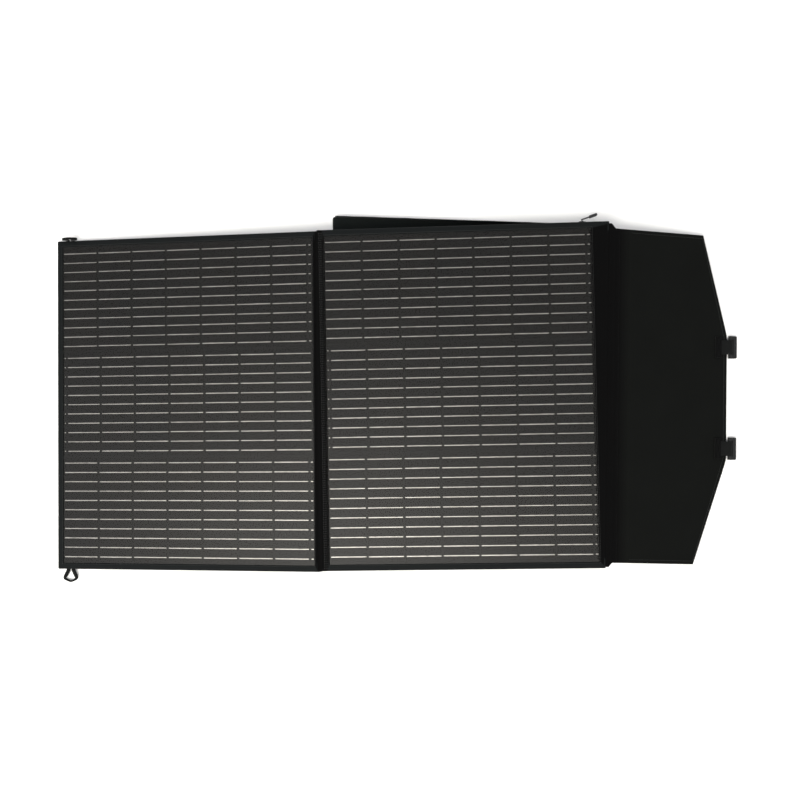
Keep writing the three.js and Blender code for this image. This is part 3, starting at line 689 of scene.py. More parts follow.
def build_ribbons(name, panel, chance):
    """Ribbons with gaps between the strips and short stubs at one end of each row, a little uneven."""
    bottom = CELLS_TOP + 0.01
    blocks = []
    for row in range(3):
        left = row_left(panel, row)
        right = left + STRIPS_PER_ROW * STRIP_PITCH
        spans = [[left + k * STRIP_PITCH + RIBBON_GAP / 2, left + (k + 1) * STRIP_PITCH - RIBBON_GAP / 2]
                 for k in range(STRIPS_PER_ROW)]
        if row == 1:
            spans[-1][1] = right - FREE_END
            spans.append((left - ROW_STUB, left - RIBBON_GAP / 2))
        else:
            spans[0][0] = left + FREE_END
            spans.append((right + RIBBON_GAP / 2, right + RIBBON_GAP / 2 + ROW_STUB))
        for line in range(RIBBONS_PER_STRIP):
            y = (1 - row) * ROW_PITCH + panel["field"] + (line - (RIBBONS_PER_STRIP - 1) / 2) * RIBBON_PITCH
            for x0, x1 in spans:
                half = RIBBON_WIDTH / 2 * chance.uniform(0.92, 1.08)
                shift = chance.uniform(-0.15, 0.15)
                trim = chance.uniform(-0.3, 0.3)
                blocks.append((x0 + trim, x1 - trim, y + shift - half, y + shift + half,
                               bottom, bottom + RIBBON_THICKNESS))
    ribbons = boxes(f"{name}_ribbons", panel["frame"], SOLDER, blocks, bevel=0.06)
    fasten(ribbons, f"{name}_panel")


# ---- panel covers

BINDING_REACH = 13  # how far the border cloth wraps on to the back
BINDING_BACK = -8.25
BACK_INNER = -6.8
SIDE_STITCH_STEP = 3.9

# Section of the border cloth, from the window to the rim: how far each ring lies outside the
# window, and its height.
WINDOW_RINGS = ((-0.3, -1.25), (-0.05, -1.1), (0, -0.45), (0.45, -0.12))

# The same round the rim: distance from the hinge's edge, from the other edges, and height.
RIM_RINGS = ((0.9, 3.4, -0.08), (0.55, 1.7, -0.42), (0.2, 0.7, -1.0), (0, 0.1, -2.1), (0, 0, -4.0),
             (0, 0.2, -5.9), (0.3, 0.9, -7.2), (1.0, 2.2, -8.0), (2.4, 4.0, BINDING_BACK),
             (9, BINDING_REACH, BINDING_BACK), (9.4, BINDING_REACH + 0.4, -7.8))


def outline_corners(panel, hinge_inset, inset):
    side = panel["side"]
    inner = HALF_HINGE_GAP + hinge_inset
    edge = HALF_HEIGHT - inset

    def outer(y):
        return panel["width"] - inset + y * math.tan(panel["lean"])

    corners = [(inner, -edge), (outer(-edge), -edge), (outer(edge), edge), (inner, edge)]
    points = [Vector((side * x, y)) for x, y in corners]
    return points if side > 0 else [points[i] for i in (1, 0, 3, 2)]


def window_corners(panel, margin):
    low = panel["window"] - margin
    high = panel["window"] + WINDOW_WIDTH + margin
    edge = WINDOW_HEIGHT / 2 + margin
    side = panel["side"]
    x0, x1 = sorted((side * low, side * high))
    return [Vector(p) for p in ((x0, -edge), (x1, -edge), (x1, edge), (x0, edge))]


def border_rings(panel):
    """Closed rings of places and their heights, from the window over the rim on to the back."""

    def ring(corners, radius, z):
        return [(place, z) for place in rounded_ring(corners, radius, per_side=48)]

    inner = [ring(window_corners(panel, margin), 1.0, z) for margin, z in WINDOW_RINGS]
    outer = [ring(outline_corners(panel, by_hinge, inset), CORNER_RADIUS, z)
             for by_hinge, inset, z in RIM_RINGS]
    middle = []
    for share, height in ((0.3, 0.02), (0.7, 0.0)):
        middle.append([(a[0].lerp(b[0], share), height) for a, b in zip(inner[-1], outer[0])])
    return inner + middle + outer


def build_border(name, panel):
    """Cloth that frames the window, rolls over the panel's edge and ends on its back."""
    rings = border_rings(panel)
    vertices = []
    for r, ring in enumerate(rings):
        loose = len(WINDOW_RINGS) <= r < len(rings) - 2
        for place, z in ring:
            lift = waviness(place, 28, 0.22, 1.0) + waviness(place, 9, 0.07, 2.0) if loose else 0
            vertices.append((place.x, place.y, min(z + lift, 0.25)))
    faces = ring_faces(len(rings), len(rings[0]))
    border = add_mesh(f"{name}_border_cloth", vertices, faces, panel["frame"], BORDER)
    fasten(border, f"{name}_panel", [f"{name}_border"])

    def beside_window(place):
        from_hinge = place.x * panel["side"]
        by_hinge = from_hinge < panel["window"] + 0.6
        by_spine = name == "right" and from_hinge > panel["window"] + WINDOW_WIDTH - 0.6
        return (by_hinge or by_spine) and abs(place.y) < WINDOW_HEIGHT / 2

    recolour(border, FOLD, beside_window)

    front = rounded_ring(window_corners(panel, 1.25), 1.0, per_side=4)
    back = rounded_ring(outline_corners(panel, 7, BINDING_REACH - 2.5), 4, per_side=4)
    seams = [[(*place, 0.0) for place in front + front[:1]],
             [(*place, BINDING_BACK - 0.2) for place in back + back[:1]]]
    sewn = stitches(f"{name}_border_stitches", panel["frame"], THREAD, seams)
    fasten(sewn, f"{name}_panel")


def build_side_stitches():
    """Coarse dark stitches at both sides of the right panel's window."""
    panel = PANELS["right"]
    far = panel["window"] + WINDOW_WIDTH
    half = WINDOW_HEIGHT / 2 - 3
    paths = [zigzag(x0, x1, -half, half, z, SIDE_STITCH_STEP)
             for x0, x1, z in ((8.2, 9.6, 0.05), (far - 3.4, far - 1.6, -1.1))]
    sewn = stitches("right_side_stitches", panel["frame"], DARK_THREAD, paths,
                    pitch=SIDE_STITCH_STEP, length=2.6, radius=0.7)
    fasten(sewn, "right_panel")


def build_back(name, panel):
    """Cloth over the back of a panel, with soft quilting over the board."""
    side = panel["side"]
    inset = 3
    low_x, high_x = sorted((side * (HALF_HINGE_GAP + inset), side * (panel["width"] - 3 * inset)))
    spare = inset if name == "right" else 0

    def surface(x, y, edge):
        wave = waviness((x, y), 55, 0.45, 5.0) + waviness((x, y), 18, 0.12, 6.0)
        return BACK_INNER, PANEL_BACK + 0.1 + min(edge / 10, 1) * min(wave, 0.1)

    def leaned(x, y, z):
        share = (x - low_x) / (high_x - low_x)
        return Vector((x + share * (y * math.tan(panel["lean"]) + spare), y, z))

    cloth = soft_slab(f"{name}_back_cloth", panel["frame"], SHELL, spread(low_x, high_x, 9),
                      lambda x: inset - HALF_HEIGHT, lambda x: HALF_HEIGHT - inset, even(64), surface, leaned)
    fasten(cloth, f"{name}_panel", [f"{name}_back_cover"])


def build_panel(name):
    panel = PANELS[name]
    chance = random.Random(name)
    build_cells(name, panel, chance)
    build_ribbons(name, panel, chance)
    build_border(name, panel)
    build_back(name, panel)


# ---- hinge between the panels

HINGE_CLOTH_HALF = HALF_HEIGHT - 0.2
HINGE_CLOTH_THICKNESS = 1.15


def hinge_point(share, y, z):
    """Point of the hinge cloth: share runs from 0 at the right panel over 2 at the middle to 4."""
    stations = [
        RIGHT @ Vector((HALF_HINGE_GAP + 0.5, y, -1.9)),
        RIGHT @ Vector((HALF_HINGE_GAP - 2.2, y, -1.35)),
        STRIP @ Vector((-HINGE_HALF_SPACING, y, -0.75)),
        LEFT @ Vector((-HALF_HINGE_GAP + 2.2, y, -1.35)),
        LEFT @ Vector((-HALF_HINGE_GAP - 0.5, y, -1.9)),
    ]
    index = min(int(share), 3)
    flat = stations[index].lerp(stations[index + 1], share - index)
    rib = 0.25 * math.cos(share * math.pi * 2.5)
    return flat + Vector((0, 0, z + rib + waviness((share * 4, y), 14, 0.12, 8.0)))


def bend_right_half(piece):
    world(RIGHT, (4.5, 0, 0))
    world(STRIP, (-HINGE_HALF_SPACING + 0.3, 0, 0))
    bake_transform(piece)


def bend_left_half(piece):
    world(STRIP, (-HINGE_HALF_SPACING - 0.3, 0, 0))
    world(LEFT, (-4.5, 0, 0))
    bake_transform(piece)


def build_hinge():
    """Two halves of one cloth, each built in its bent shape over one of the two fold lines."""
    local = Matrix.Identity(4)
    for name, start, bend, replaced in (("right", 0, bend_right_half, ["hinge_strip"]),
                                        ("left", 2, bend_left_half, [])):
        cloth = soft_slab(f"hinge_cloth_{name}", local, FOLD, [start + 0.2 * i for i in range(11)],
                          lambda x: -HINGE_CLOTH_HALF, lambda x: HINGE_CLOTH_HALF, even(96),
                          lambda x, y, edge: (0, -HINGE_CLOTH_THICKNESS), hinge_point)
        bend(cloth)
        describe(cloth, replaced)

    half = HINGE_CLOTH_HALF - 3
    rows = [zigzag(share - 0.15, share + 0.15, -half, half, 0.05, SIDE_STITCH_STEP)
            for share in (0.4, 1.0, 1.5)]
    sewn = stitches("hinge_stitches", local, THREAD, rows,
                    pitch=SIDE_STITCH_STEP, length=2.4, radius=0.12, warp=hinge_point)
    bend_right_half(sewn)
    describe(sewn)


# ---- spine and flap

FLAP_CORNER = 4
FLARES = {1: (9, 8), -1: (8, 7)}  # reach and rise of the cloth's ends towards the panel's corners
EDGE_SHARES = (0.002, 0.005, 0.009)  # extra rows beside the long edges

# Folds that run along the spine: place, width and depth.
CREASES = ((0.3, 1.8, 0.9), (7.0, 1.6, 0.5), (15.5, 2.2, 0.8), (22.5, 1.8, 0.4),
           (SPINE_WIDTH, 2.4, 1.0), (SPINE_WIDTH + 7, 2.6, 0.3))


def smooth_step(share):
    share = min(max(share, 0), 1)
    return share * share * (3 - 2 * share)


def bend_at_seam(x, y, z):
    """Point of the spine's frame, eased into the plane of the panel before the fold line."""
    share = smooth_step((x + 2.5) / 5)
    return Matrix.Rotation(FLAP_SLOPE * share, 4, "Y") @ Vector((x, y, z))


def creases(x, y):
    """Soft folds that run along the spine, and slight unevenness of the flap."""
    drift = waviness((y, 0), 120, 1.6, 3.0)
    depth = sum(amount * math.exp(-((x - place - drift) / width) ** 2) for place, width, amount in CREASES)
    swell = 0.35 * math.exp(-((x - SPINE_WIDTH - 3 - drift) / 3.0) ** 2)
    return swell - depth + waviness((x, y), 60, 0.5, 4.0) + waviness((x, y), 20, 0.15, 7.0)


def flap_edge(x, side):
    """Height of the upper (side 1) or lower (side -1) edge of spine and flap."""
    along = x - SPINE_WIDTH
    shoulder = UPPER_SHOULDER if side > 0 else LOWER_SHOULDER
    straight = SPINE_WIDTH + min(along, shoulder)
    height = side * FLAP_HALF_HEIGHT + LONG_EDGE_SHIFT - LONG_EDGE_SKEW * straight
    reach, rise = FLARES[side]
    height += side * rise * (1 - smooth_step(x / reach))
    if along > shoulder:
        share = (along - shoulder) / (FLAP_END - shoulder)
        height += (side * FLAP_HALF_END - height) * share
    return height - side * corner_cut(FLAP_CORNER, FLAP_END - along)


def lower_edge(x):
    return flap_edge(x, -1)


def upper_edge(x):
    return flap_edge(x, 1)


def distance_to_side(x, y):
    """Distance in the plane to the nearer of the two long edges."""
    side = 1 if y > 0 else -1
    shoulder = UPPER_SHOULDER if side > 0 else LOWER_SHOULDER
    slope = 0
    if x - SPINE_WIDTH > shoulder:
        slope = (FLAP_HALF_HEIGHT - FLAP_HALF_END) / (FLAP_END - shoulder)
    return abs(flap_edge(x, side) - y) / math.hypot(1, slope)


def build_spine():
    middle = FLAP_TOP - 1.3

    def surface(x, y, edge):
        puff = edge_round(distance_to_side(x, y), 3.5)
        top = FLAP_TOP + creases(x, y) - 0.9 * max(1 - x, 0) / 5.5
        bottom = FLAP_TOP - 2.2 - 1.8 * min(max(x - 2, 0) / 4, 1)
        return middle + (top - middle) * puff + 0.3, middle + (bottom - middle) * puff - 0.3

    xs = [-4.5, -3.5, -2.5, -1.5, -0.7, 0, 0.7, 1.5, 2.5, 3.5] + spread(5, SPINE_WIDTH / 2, 1)
    cloth = soft_slab("spine_cloth", SEAM, FOLD, xs, lower_edge, upper_edge,
                      even(110, EDGE_SHARES), surface, bend_at_seam)
    world(SEAM, (-3.2, 0, 0))
    world(SPINE, (4, 0, 0))
    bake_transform(cloth)
    describe(cloth, ["spine_liner", "spine_cover"])


def build_flap():
    middle = (FLAP_TOP + FLAP_BOTTOM) / 2
    end = SPINE_WIDTH + FLAP_END

    def surface(x, y, edge):
        puff = edge_round(min(distance_to_side(x, y), end - x), 4.5)
        top = FLAP_TOP + creases(x, y)
        fold = 0.9 * math.exp(-((x - SPINE_WIDTH) / 2.2) ** 2)
        bottom = FLAP_BOTTOM - waviness((x, y), 45, 0.3, 9.0) + fold
        return middle + (top - middle - 0.5) * puff + 0.5, middle + (bottom - middle + 0.5) * puff - 0.5

    fine = spread(SPINE_WIDTH / 2, SPINE_WIDTH + 14, 1.3)
    coarse = spread(SPINE_WIDTH + 18, end - 6, 4)
    shoulders = [SPINE_WIDTH + UPPER_SHOULDER, SPINE_WIDTH + LOWER_SHOULDER]
    rim = [end - inset for inset in (4.6, 3, 1.6, 0.7, 0.2, 0)]
    cloth = soft_slab("flap_cloth", SPINE, FLAP_SHELL, sorted({*fine, *coarse, *shoulders, *rim}),
                      lower_edge, upper_edge, even(110, EDGE_SHARES), surface)
    world(SPINE, (SPINE_WIDTH - 5, 0, 0))
    world(SPINE, (SPINE_WIDTH + 5, 0, 0))
    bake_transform(cloth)
    describe(cloth, ["flap_lining", "flap_cover"])
    build_flap_stitches()
    finished("flap_board", LAMINATE, "stiffener_board")


def build_flap_stitches():
    """Seams that follow the free edges of the flap, on both of its faces."""
    inset = 6
    corner = FLAP_HALF_END - inset * 0.7
    line = [(x, lower_edge(SPINE_WIDTH + x) + inset) for x in (6, LOWER_SHOULDER - 1.5)]
    line += [(FLAP_END - inset, -corner), (FLAP_END - inset, corner)]
    line += [(x, upper_edge(SPINE_WIDTH + x) - inset) for x in (UPPER_SHOULDER - 1.5, 6)]
    places = []
    for a, b in zip(line, line[1:]):
        steps = max(1, round(math.dist(a, b) / 8))
        places += [Vector(a).lerp(Vector(b), k / steps) for k in range(steps)]
    places.append(Vector(line[-1]))
    top = [(p.x, p.y, FLAP_TOP + creases(p.x + SPINE_WIDTH, p.y) - 0.05) for p in places]
    bottom = [(p.x, p.y, FLAP_BOTTOM - 0.2) for p in places]
    fasten(stitches("flap_stitches", FLAP, THREAD, [top, bottom]), "flap")


# ---- clips and their webbing

CLIP_BAR_RADIUS = 3
CLIP_WEBBING_THICKNESS = 1.5
CLIP_PATCH_WIDTH = 11
CLIP_PATCH_HALF = 18


def build_clip(name, y):
    """Webbing tab that holds the bar of a clip, and the patch that sews it to the flap."""
    top = FLAP_TOP + 0.3  # of the cloth beside the flap's end
    bar_x = FLAP_END + 0.6 + CLIP_BAR_RADIUS
    starts = [FLAP_END - inset for inset in (20, 15, 10, 6)]
    path = [(x, y, top + 1.0 + 0.12 * math.sin(x)) for x in starts]
    path += round_bar(bar_x, y, top + 2, CLIP_BAR_RADIUS + 1, start=140, step=15, count=13)
    strap = band(f"{name}_clip_strap", FLAP, STRAP, path, WEBBING_WIDTH, CLIP_WEBBING_THICKNESS)
    fasten(strap, "flap", [f"{name}_clip_webbing"])
    build_clip_patch(name, y, top)


def build_clip_patch(name, y, top):
    end = FLAP_END - 11
    half = CLIP_PATCH_HALF

    def surface(x, py, edge):
        return top + 1.3 + 0.9 * edge_round(edge, 1.2), top + 0.2

    # A sewn patch made near black: painted shadow beside the raised strap.
    patch = soft_slab(f"{name}_clip_patch", FLAP, PATCH_PAINTED_SHADOW, spread(end - CLIP_PATCH_WIDTH, end, 1.2, (0.3, 0.7)),
                      lambda x: y - half, lambda x: y + half, even(24, (0.008, 0.02)), surface)
    fasten(patch, "flap")
    corners = [(end - 9.4, y - 16), (end - 1.6, y - 16), (end - 1.6, y + 16), (end - 9.4, y + 16)]
    a, b, c, d = [(*corner, top + 2.2) for corner in corners]
    lines = [[a, b, c, d, a], [a, c], [d, b]]
    # Dark thread keeps the painted shadow of the patch unbroken.
    sewn = stitches(f"{name}_clip_stitches", FLAP, DARK_THREAD, lines, pitch=2.2, length=1.7, radius=0.3)
    fasten(sewn, "flap")


# ---- strap loops

LOOP_HALF_ROOT = 4.4
LOOP_HALF_END = 12.6
LOOP_SIDE_WIDTH = 7.2
LOOP_BAR_WIDTH = 3.8
LOOP_ROOT_DEPTH = 1.7
LOOP_CLEARANCE = 1.5
LOOP_ROOT = -1.1
LOOP_KNEE = 0.8


def rounded_path(corners, radius):
    """Path through the first and last point that rounds the corners between them."""
    path = [corners[0]]
    for before, here, after in zip(corners, corners[1:], corners[2:]):
        start = here + (before - here).normalized() * min(radius, (before - here).length / 2)
        end = here + (after - here).normalized() * min(radius, (after - here).length / 2)
        path += [start.lerp(here, t).lerp(here.lerp(end, t), t) for t in even(6)]
    return path + [corners[-1]]


def build_loop(name, outward, tilt, sway, bar_depth):
    """A sewn strap loop whose wide sides meet at the seam, and whose outer bar sways sideways."""
    pivot = moved(LEFT, LOOP_INSET - LEFT_WIDTH, outward * (HALF_HEIGHT + LOOP_CLEARANCE),
                  PANEL_BACK / 2, "X", outward * tilt)
    corners = [  # along the seam, and outwards
        (-LOOP_HALF_ROOT, LOOP_ROOT),
        (-LOOP_HALF_ROOT, LOOP_KNEE),
        (sway - LOOP_HALF_END, LOOP_REACH - 7.5),
        (sway, LOOP_REACH - 2.2),
        (sway + LOOP_HALF_END - 0.8, LOOP_REACH - 8),
        (LOOP_HALF_ROOT, LOOP_KNEE),
        (LOOP_HALF_ROOT, LOOP_ROOT),
    ]
    path = rounded_path([Vector(corner) for corner in corners], 4)
    profile = [(-0.5, 0), (-0.46, 0.42), (-0.2, 0.5), (0.2, 0.5), (0.46, 0.42), (0.5, 0),
               (0.46, -0.42), (0, -0.5), (-0.46, -0.42)]
    rings = []
    for i, point in enumerate(path):
        along = direction(path, i)
        side = Vector((-along.y, along.x))
        width = LOOP_SIDE_WIDTH + (LOOP_BAR_WIDTH - LOOP_SIDE_WIDTH) * smooth_step((point.y - 9) / 10)
        depth = LOOP_ROOT_DEPTH + (bar_depth - LOOP_ROOT_DEPTH) * smooth_step((point.y - 4) / 8)
        rise = 0.5 * math.sin(i / (len(path) - 1) * math.pi)
        ring = [(point + side * w * width, rise + t * depth) for w, t in profile]
        rings.append([(flat.x, outward * flat.y, z) for flat, z in ring])
    loop = swept(f"{name}_loop_webbing", rings, pivot, STRAP)
    fasten(loop, f"{name}_loop", [f"{name}_strap_loop"])


# ---- pouch

WALL_OVERHANG = 3  # the wall's cloth sags past the gusset beside the hinge
WALL_CORNER = 5
GUSSET_CORNER = 14
GUSSET_THICKNESS = 1.3
PIPING_RADIUS = 1.5
WALL_THICKNESS = 1.6
TAPE_OUTER_FACE = -0.6
TAPE_INNER_FACE = -1.7
TOOTH_PITCH = 2.6
TOOTH_WIDTH = 1.3

# Outer face of the gusset from the panel's back to the wall: how far out, and height.
GUSSET_SECTION = ((0.2, -8.35), (0.9, -9.6), (0.0, -14), (-1.6, -20), (-2.4, -25), (-1.7, -31),
                  (-0.2, -37), (0.9, -40.3), (0.5, -41.3))


def mouth_y(x):
    """Edge of the pouch's outer wall at its mouth."""
    share = (x - POUCH_START) / POUCH_WIDTH
    return HALF_HEIGHT + MOUTH_RISE_LEFT + (MOUTH_RISE_RIGHT - MOUTH_RISE_LEFT) * share


def build_pouch():
    build_pouch_wall()
    stations = gusset_stations()
    build_gusset(stations)
    seam_height = POUCH_FLOOR + WALL_THICKNESS + 0.3
    seam = [Vector((*(point + outward * 0.9), seam_height)) for point, outward in stations]
    fasten(tube("pouch_piping", RIGHT, STRAP, seam, PIPING_RADIUS), "right_panel")


def build_pouch_wall():
    start = POUCH_START - WALL_OVERHANG

    def corner(x):
        return corner_cut(WALL_CORNER, min(x - start, POUCH_END - x))

    def surface(x, y, edge):
        wave = abs(waviness((x, y), 48, 0.5, 11.0)) + abs(waviness((x, y), 16, 0.18, 12.0))
        rise = 0.48 * (1 - edge_round(edge, 2.0))
        top = POUCH_FLOOR + WALL_THICKNESS + 0.6 * min(edge / 8, 1) * wave
        return top, POUCH_FLOOR + 0.02 + rise

    wall = soft_slab("pouch_wall_cloth", RIGHT, SHELL, spread(start, POUCH_END, 10, (0.4, 1.2, 2.6, 5)),
                     lambda x: POUCH_LOW_EDGE + corner(x), lambda x: mouth_y(x) - corner(x),
                     even(40, (0.002, 0.006)), surface)
    # The wall's inner face gets the lightened lining: painted light in the shade beside the panel's edge.
    recolour(wall, LINING_PAINTED_LIGHT, lambda place: place.z > POUCH_FLOOR + 1)
    fasten(wall, "right_panel", ["pouch_outer_wall"])


def gusset_stations():
    """Points of the gusset strip with their outward directions: left side, low edge, right side."""
    radius = GUSSET_CORNER
    left, right = POUCH_START + 1, POUCH_END - 1
    low, top = POUCH_LOW_EDGE + 1, HALF_HEIGHT - 3
    return [
        *straight_stations((left, top), (left, POUCH_LOW_EDGE + radius), (-1, 0), even(25)[:-1]),
        *corner_stations(left + radius, low + radius, 180),
        *straight_stations((left + radius, low), (right - radius, low), (0, -1), even(34)[1:-1]),
        *corner_stations(right - radius, low + radius, 270),
        *straight_stations((right, low + radius), (right, top), (1, 0), even(25)[1:]),
    ]


def straight_stations(start, end, outward, shares):
    return [(Vector(start).lerp(Vector(end), share), Vector(outward)) for share in shares]


def corner_stations(x, y, start):
    """A quarter turn round a corner of the gusset, from this angle in degrees."""
    angles = [math.radians(start + 90 * k / 8) for k in range(9)]
    directions = [Vector((math.cos(a), math.sin(a))) for a in angles]
    return [(Vector((x, y)) + outward * GUSSET_CORNER, outward) for outward in directions]


def build_gusset(stations):
    """Soft side walls of the pouch, a little sunken, and wavy between the seams."""
    inner = [(out - GUSSET_THICKNESS, z + (0.1 if z > -20 else -0.1)) for out, z in reversed(GUSSET_SECTION)]
    lower_seam, upper_seam = -38, -11
    rings, places = [], []
    run = 0.0
    for i, (point, outward) in enumerate(stations):
        if i:
            run += (point - stations[i - 1][0]).length
        ring = []
        for out, z in (*GUSSET_SECTION, *inner):
            freedom = 1 if lower_seam < z < upper_seam else 0.15
            sway = 1.1 * noise.noise(Vector((run / 35, z / 25, 13.0))) * freedom
            ring.append((*(point + outward * (out + sway)), z))
            places.append((run, z, 0))
        rings.append(ring)
    gusset = swept("pouch_gusset_cloth", rings, RIGHT, SHELL, places)
    replaced = ["pouch_left_gusset", "pouch_right_gusset", "pouch_low_gusset"]
    fasten(gusset, "right_panel", replaced)


def build_teeth(name, local, start, length, section, bevel):
    """Row of zip teeth along X with this section (y0, y1, z0, z1)."""
    middles = [start + (k + 0.5) * TOOTH_PITCH for k in range(int(length / TOOTH_PITCH))]
    blocks = [(x - TOOTH_WIDTH / 2, x + TOOTH_WIDTH / 2, *section) for x in middles]
    fasten(boxes(name, local, BLACK_PLASTIC, blocks, bevel), "right_panel")


def build_outer_tape():
    """Tape that stands on the edge of the pouch's wall, with its teeth at the top."""
    steps = 60
    margin = 3
    length = POUCH_WIDTH / math.cos(MOUTH_LEAN) - 2 * margin
    start = -margin - length
    levels = (0, 0.5, 1)
    rings, places = [], []
    for i in range(steps + 1):
        x = start + length * i / steps
        sway = 0.5 * noise.noise(Vector((x / 30, 0, 20.0)))
        ring = [(x, TAPE_OUTER_FACE + sway * level, TAPE_WIDTH * level) for level in levels]
        ring += [(x, TAPE_INNER_FACE + sway * level, TAPE_WIDTH * level) for level in reversed(levels)]
        rings.append(ring)
        places += [(x, z, 0) for x, _, z in ring]
    tape = swept("zip_tape_outer_cloth", rings, MOUTH, TAPE, places)
    fasten(tape, "right_panel", ["zip_tape_outer"])
    build_teeth("zip_teeth_outer", MOUTH, start, length,
                (-1.75, -0.45, TAPE_WIDTH - 1.3, TAPE_WIDTH + 0.7), bevel=0.25)


def build_inner_tape():
    """Tape on the panel's back, beside the pouch's mouth."""
    x0, x1 = POUCH_START + 5, POUCH_END - 5
    y0, y1 = HALF_HEIGHT - TAPE_WIDTH - 2, HALF_HEIGHT - 2.2

    def surface(x, y, edge):
        return UNDER_BACK, UNDER_BACK - 1.1 - waviness((x, y), 20, 0.1, 14.0)

    tape = soft_slab("zip_tape_inner_cloth", RIGHT, STRAP, spread(x0, x1, 8), lambda x: y0, lambda x: y1,
                     even(6), surface)
    fasten(tape, "right_panel", ["zip_tape_inner"])
    build_teeth("zip_teeth_inner", RIGHT, x0, x1 - x0,
                (y1 - 1.3, y1 + 0.6, UNDER_BACK - 1.6, UNDER_BACK - 0.5), bevel=0.2)


# ---- handle


def build_handle():
    for name, y in (("upper", HANDLE_SPACING / 2), ("lower", -HANDLE_SPACING / 2)):
        path = [(x, y, 0.5 * math.sin(x / 9)) for x in (0.5, 6, 12, 18, 24, 30, 36)]
        path += round_bar(HANDLE_REACH, y, 0, GRIP_RADIUS - 1, start=165, step=18, count=19)
        strap = band(f"{name}_handle_webbing", HANDLE, STRAP, path, WEBBING_WIDTH, thickness=1.7)
        fasten(strap, "handle", [f"{name}_handle_strap"])
    build_grip()


def grip_radius(y):
    """The padded grip is round at its ends and pinched under both straps."""
    from_end = GRIP_LENGTH / 2 - abs(y)
    radius = (GRIP_RADIUS - 0.2) * math.sqrt(max(1 - max(1 - from_end / 7, 0) ** 2, 0.0025))
    if abs(abs(y) - HANDLE_SPACING / 2) < WEBBING_WIDTH / 2 + 1:
        return min(radius, GRIP_RADIUS - 2)
    return radius


def build_grip():
    steps, sides = 75, 20
    rings = []
    for i in range(steps + 1):
        y = GRIP_LENGTH * i / steps - GRIP_LENGTH / 2
        ring = []
        for a in (2 * math.pi * k / sides for k in range(sides)):
            seam = 0.03 * math.exp(-((a - math.pi * 1.5) / 0.2) ** 2)
            r = grip_radius(y) * (1 - seam) - waviness((y, a * 4), 9, 0.15, 15.0)
            ring.append((HANDLE_REACH + r * math.cos(a), y, r * math.sin(a)))
        rings.append(ring)
    grip = swept("handle_grip_pad", rings, HANDLE, FOLD)
    fasten(grip, "handle", ["handle_grip"])


# ---- stands

STAND_MIDDLE = UNDER_BACK - 2
STAND_TOP = STAND_HINGE_Y - 2
STAND_BOTTOM = STAND_TOP - STAND_LENGTH

# The strip that holds a stand, from the panel's back on to the stand: y and z.
STAND_STRIP_PATH = ((-14, -9.0), (-18, -9.0), (-22, -9.1), (-25, -9.6), (-27, -10.6), (-28.5, -11.9),
                    (-30, -12.7), (-33, -13.0), (-37, -13.0), (-41, -13.0))


def stand_half_width(y):
    """Half the width of a stand before its corners are rounded."""
    return STAND_WIDTH / 2 - STAND_NARROWING * (STAND_TOP - y) / STAND_LENGTH


def build_stand(name, x):
    """Support board that hangs from the back of a panel, with its middle at this x."""
    local = PANELS[name]["frame"]

    def half(y):
        return stand_half_width(y) - corner_cut(5, STAND_TOP - y) - corner_cut(10, y - STAND_BOTTOM)

    def turned(y, across, z):
        return Vector((across + x, y, z))

    def surface(y, across, edge):
        puff = edge_round(min(half(y) - abs(across), edge), 3)
        wave = waviness((y, across), 40, 0.3, 16.0)
        return STAND_MIDDLE + 0.7 + 1.25 * puff, STAND_MIDDLE - 0.7 - (1.2 + min(wave, 0.05)) * puff

    ys = spread(STAND_BOTTOM, STAND_TOP, 8, (0.3, 1, 2.2, 4, 7))
    board = soft_slab(f"{name}_stand_cloth", local, SHELL, ys, lambda y: -half(y), half,
                      even(30, (0.004, 0.012)), surface, turned)
    fasten(board, f"{name}_stand", [f"{name}_stand_board"])
    build_stand_stitches(name, local, x)

    strip_width = STAND_WIDTH - 30
    strip = band(f"{name}_stand_strip_cloth", local, STRAP, [(x, y, z) for y, z in STAND_STRIP_PATH],
                 strip_width, thickness=1.1, across=(1, 0, 0))
    world(local, (x, -24, -9.5))
    world(local, (x, -32, -12.5))
    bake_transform(strip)
    describe(strip, [f"{name}_stand_hinge_strip"])


def build_stand_stitches(name, local, x):
    inset = 5
    z = STAND_MIDDLE - 2.05
    top, bottom = STAND_TOP - inset, STAND_BOTTOM + inset
    seam = [(-1, top), (-1, bottom), (1, bottom), (1, top), (-1, top)]
    path = [(x + side * (stand_half_width(y) - inset), y, z) for side, y in seam]
    sewn = stitches(f"{name}_stand_stitches", local, THREAD, [path])
    fasten(sewn, f"{name}_stand")


# ---- hard pieces that keep their CAD shape

# Material, slot, width of the soft edges, and CAD nodes.
HARD_PIECES = (
    (FILM, "clear_sheet", 0.1, ("left_front_sheet", "right_front_sheet")),
    (LAMINATE, "glass_fibre_board", 0.1, ("left_board", "right_board", "controller_circuit_board")),
    (BLACK_PLASTIC, "black_plastic", 0.8, ("left_junction_box", "right_junction_box",
                                           "upper_clip_receiver", "lower_clip_receiver")),
    (BLACK_PLASTIC, "black_plastic", 0.6, ("left_junction_lid", "right_junction_lid",
                                           "upper_clip", "lower_clip")),
    (BLACK_PLASTIC, "black_plastic", 0.3, ("left_cable_gland", "right_cable_gland", "controller_terminals")),
    (GREY_PLASTIC, "grey_plastic", 0.3, ("left_diode_block", "right_diode_block")),
    (GREY_PLASTIC, "grey_plastic", 0.8, ("controller_base", "controller_cover")),
    (DISPLAY, "display_window", 0.2, ("controller_display",)),
    (RUBBER, "button_rubber", 0.6, ("button_menu", "button_down", "button_up")),
    (ZINC, "zinc_alloy", 0.5, ("zip_slider",)),
    (ZINC, "zinc_alloy", 0.35, ("zip_pull",)),
)


def finish_hard_pieces():
    for material, slot, edge_width, names in HARD_PIECES:
        for name in names:
            rounded(name, material, slot, edge_width)


# ---- stage, light and camera

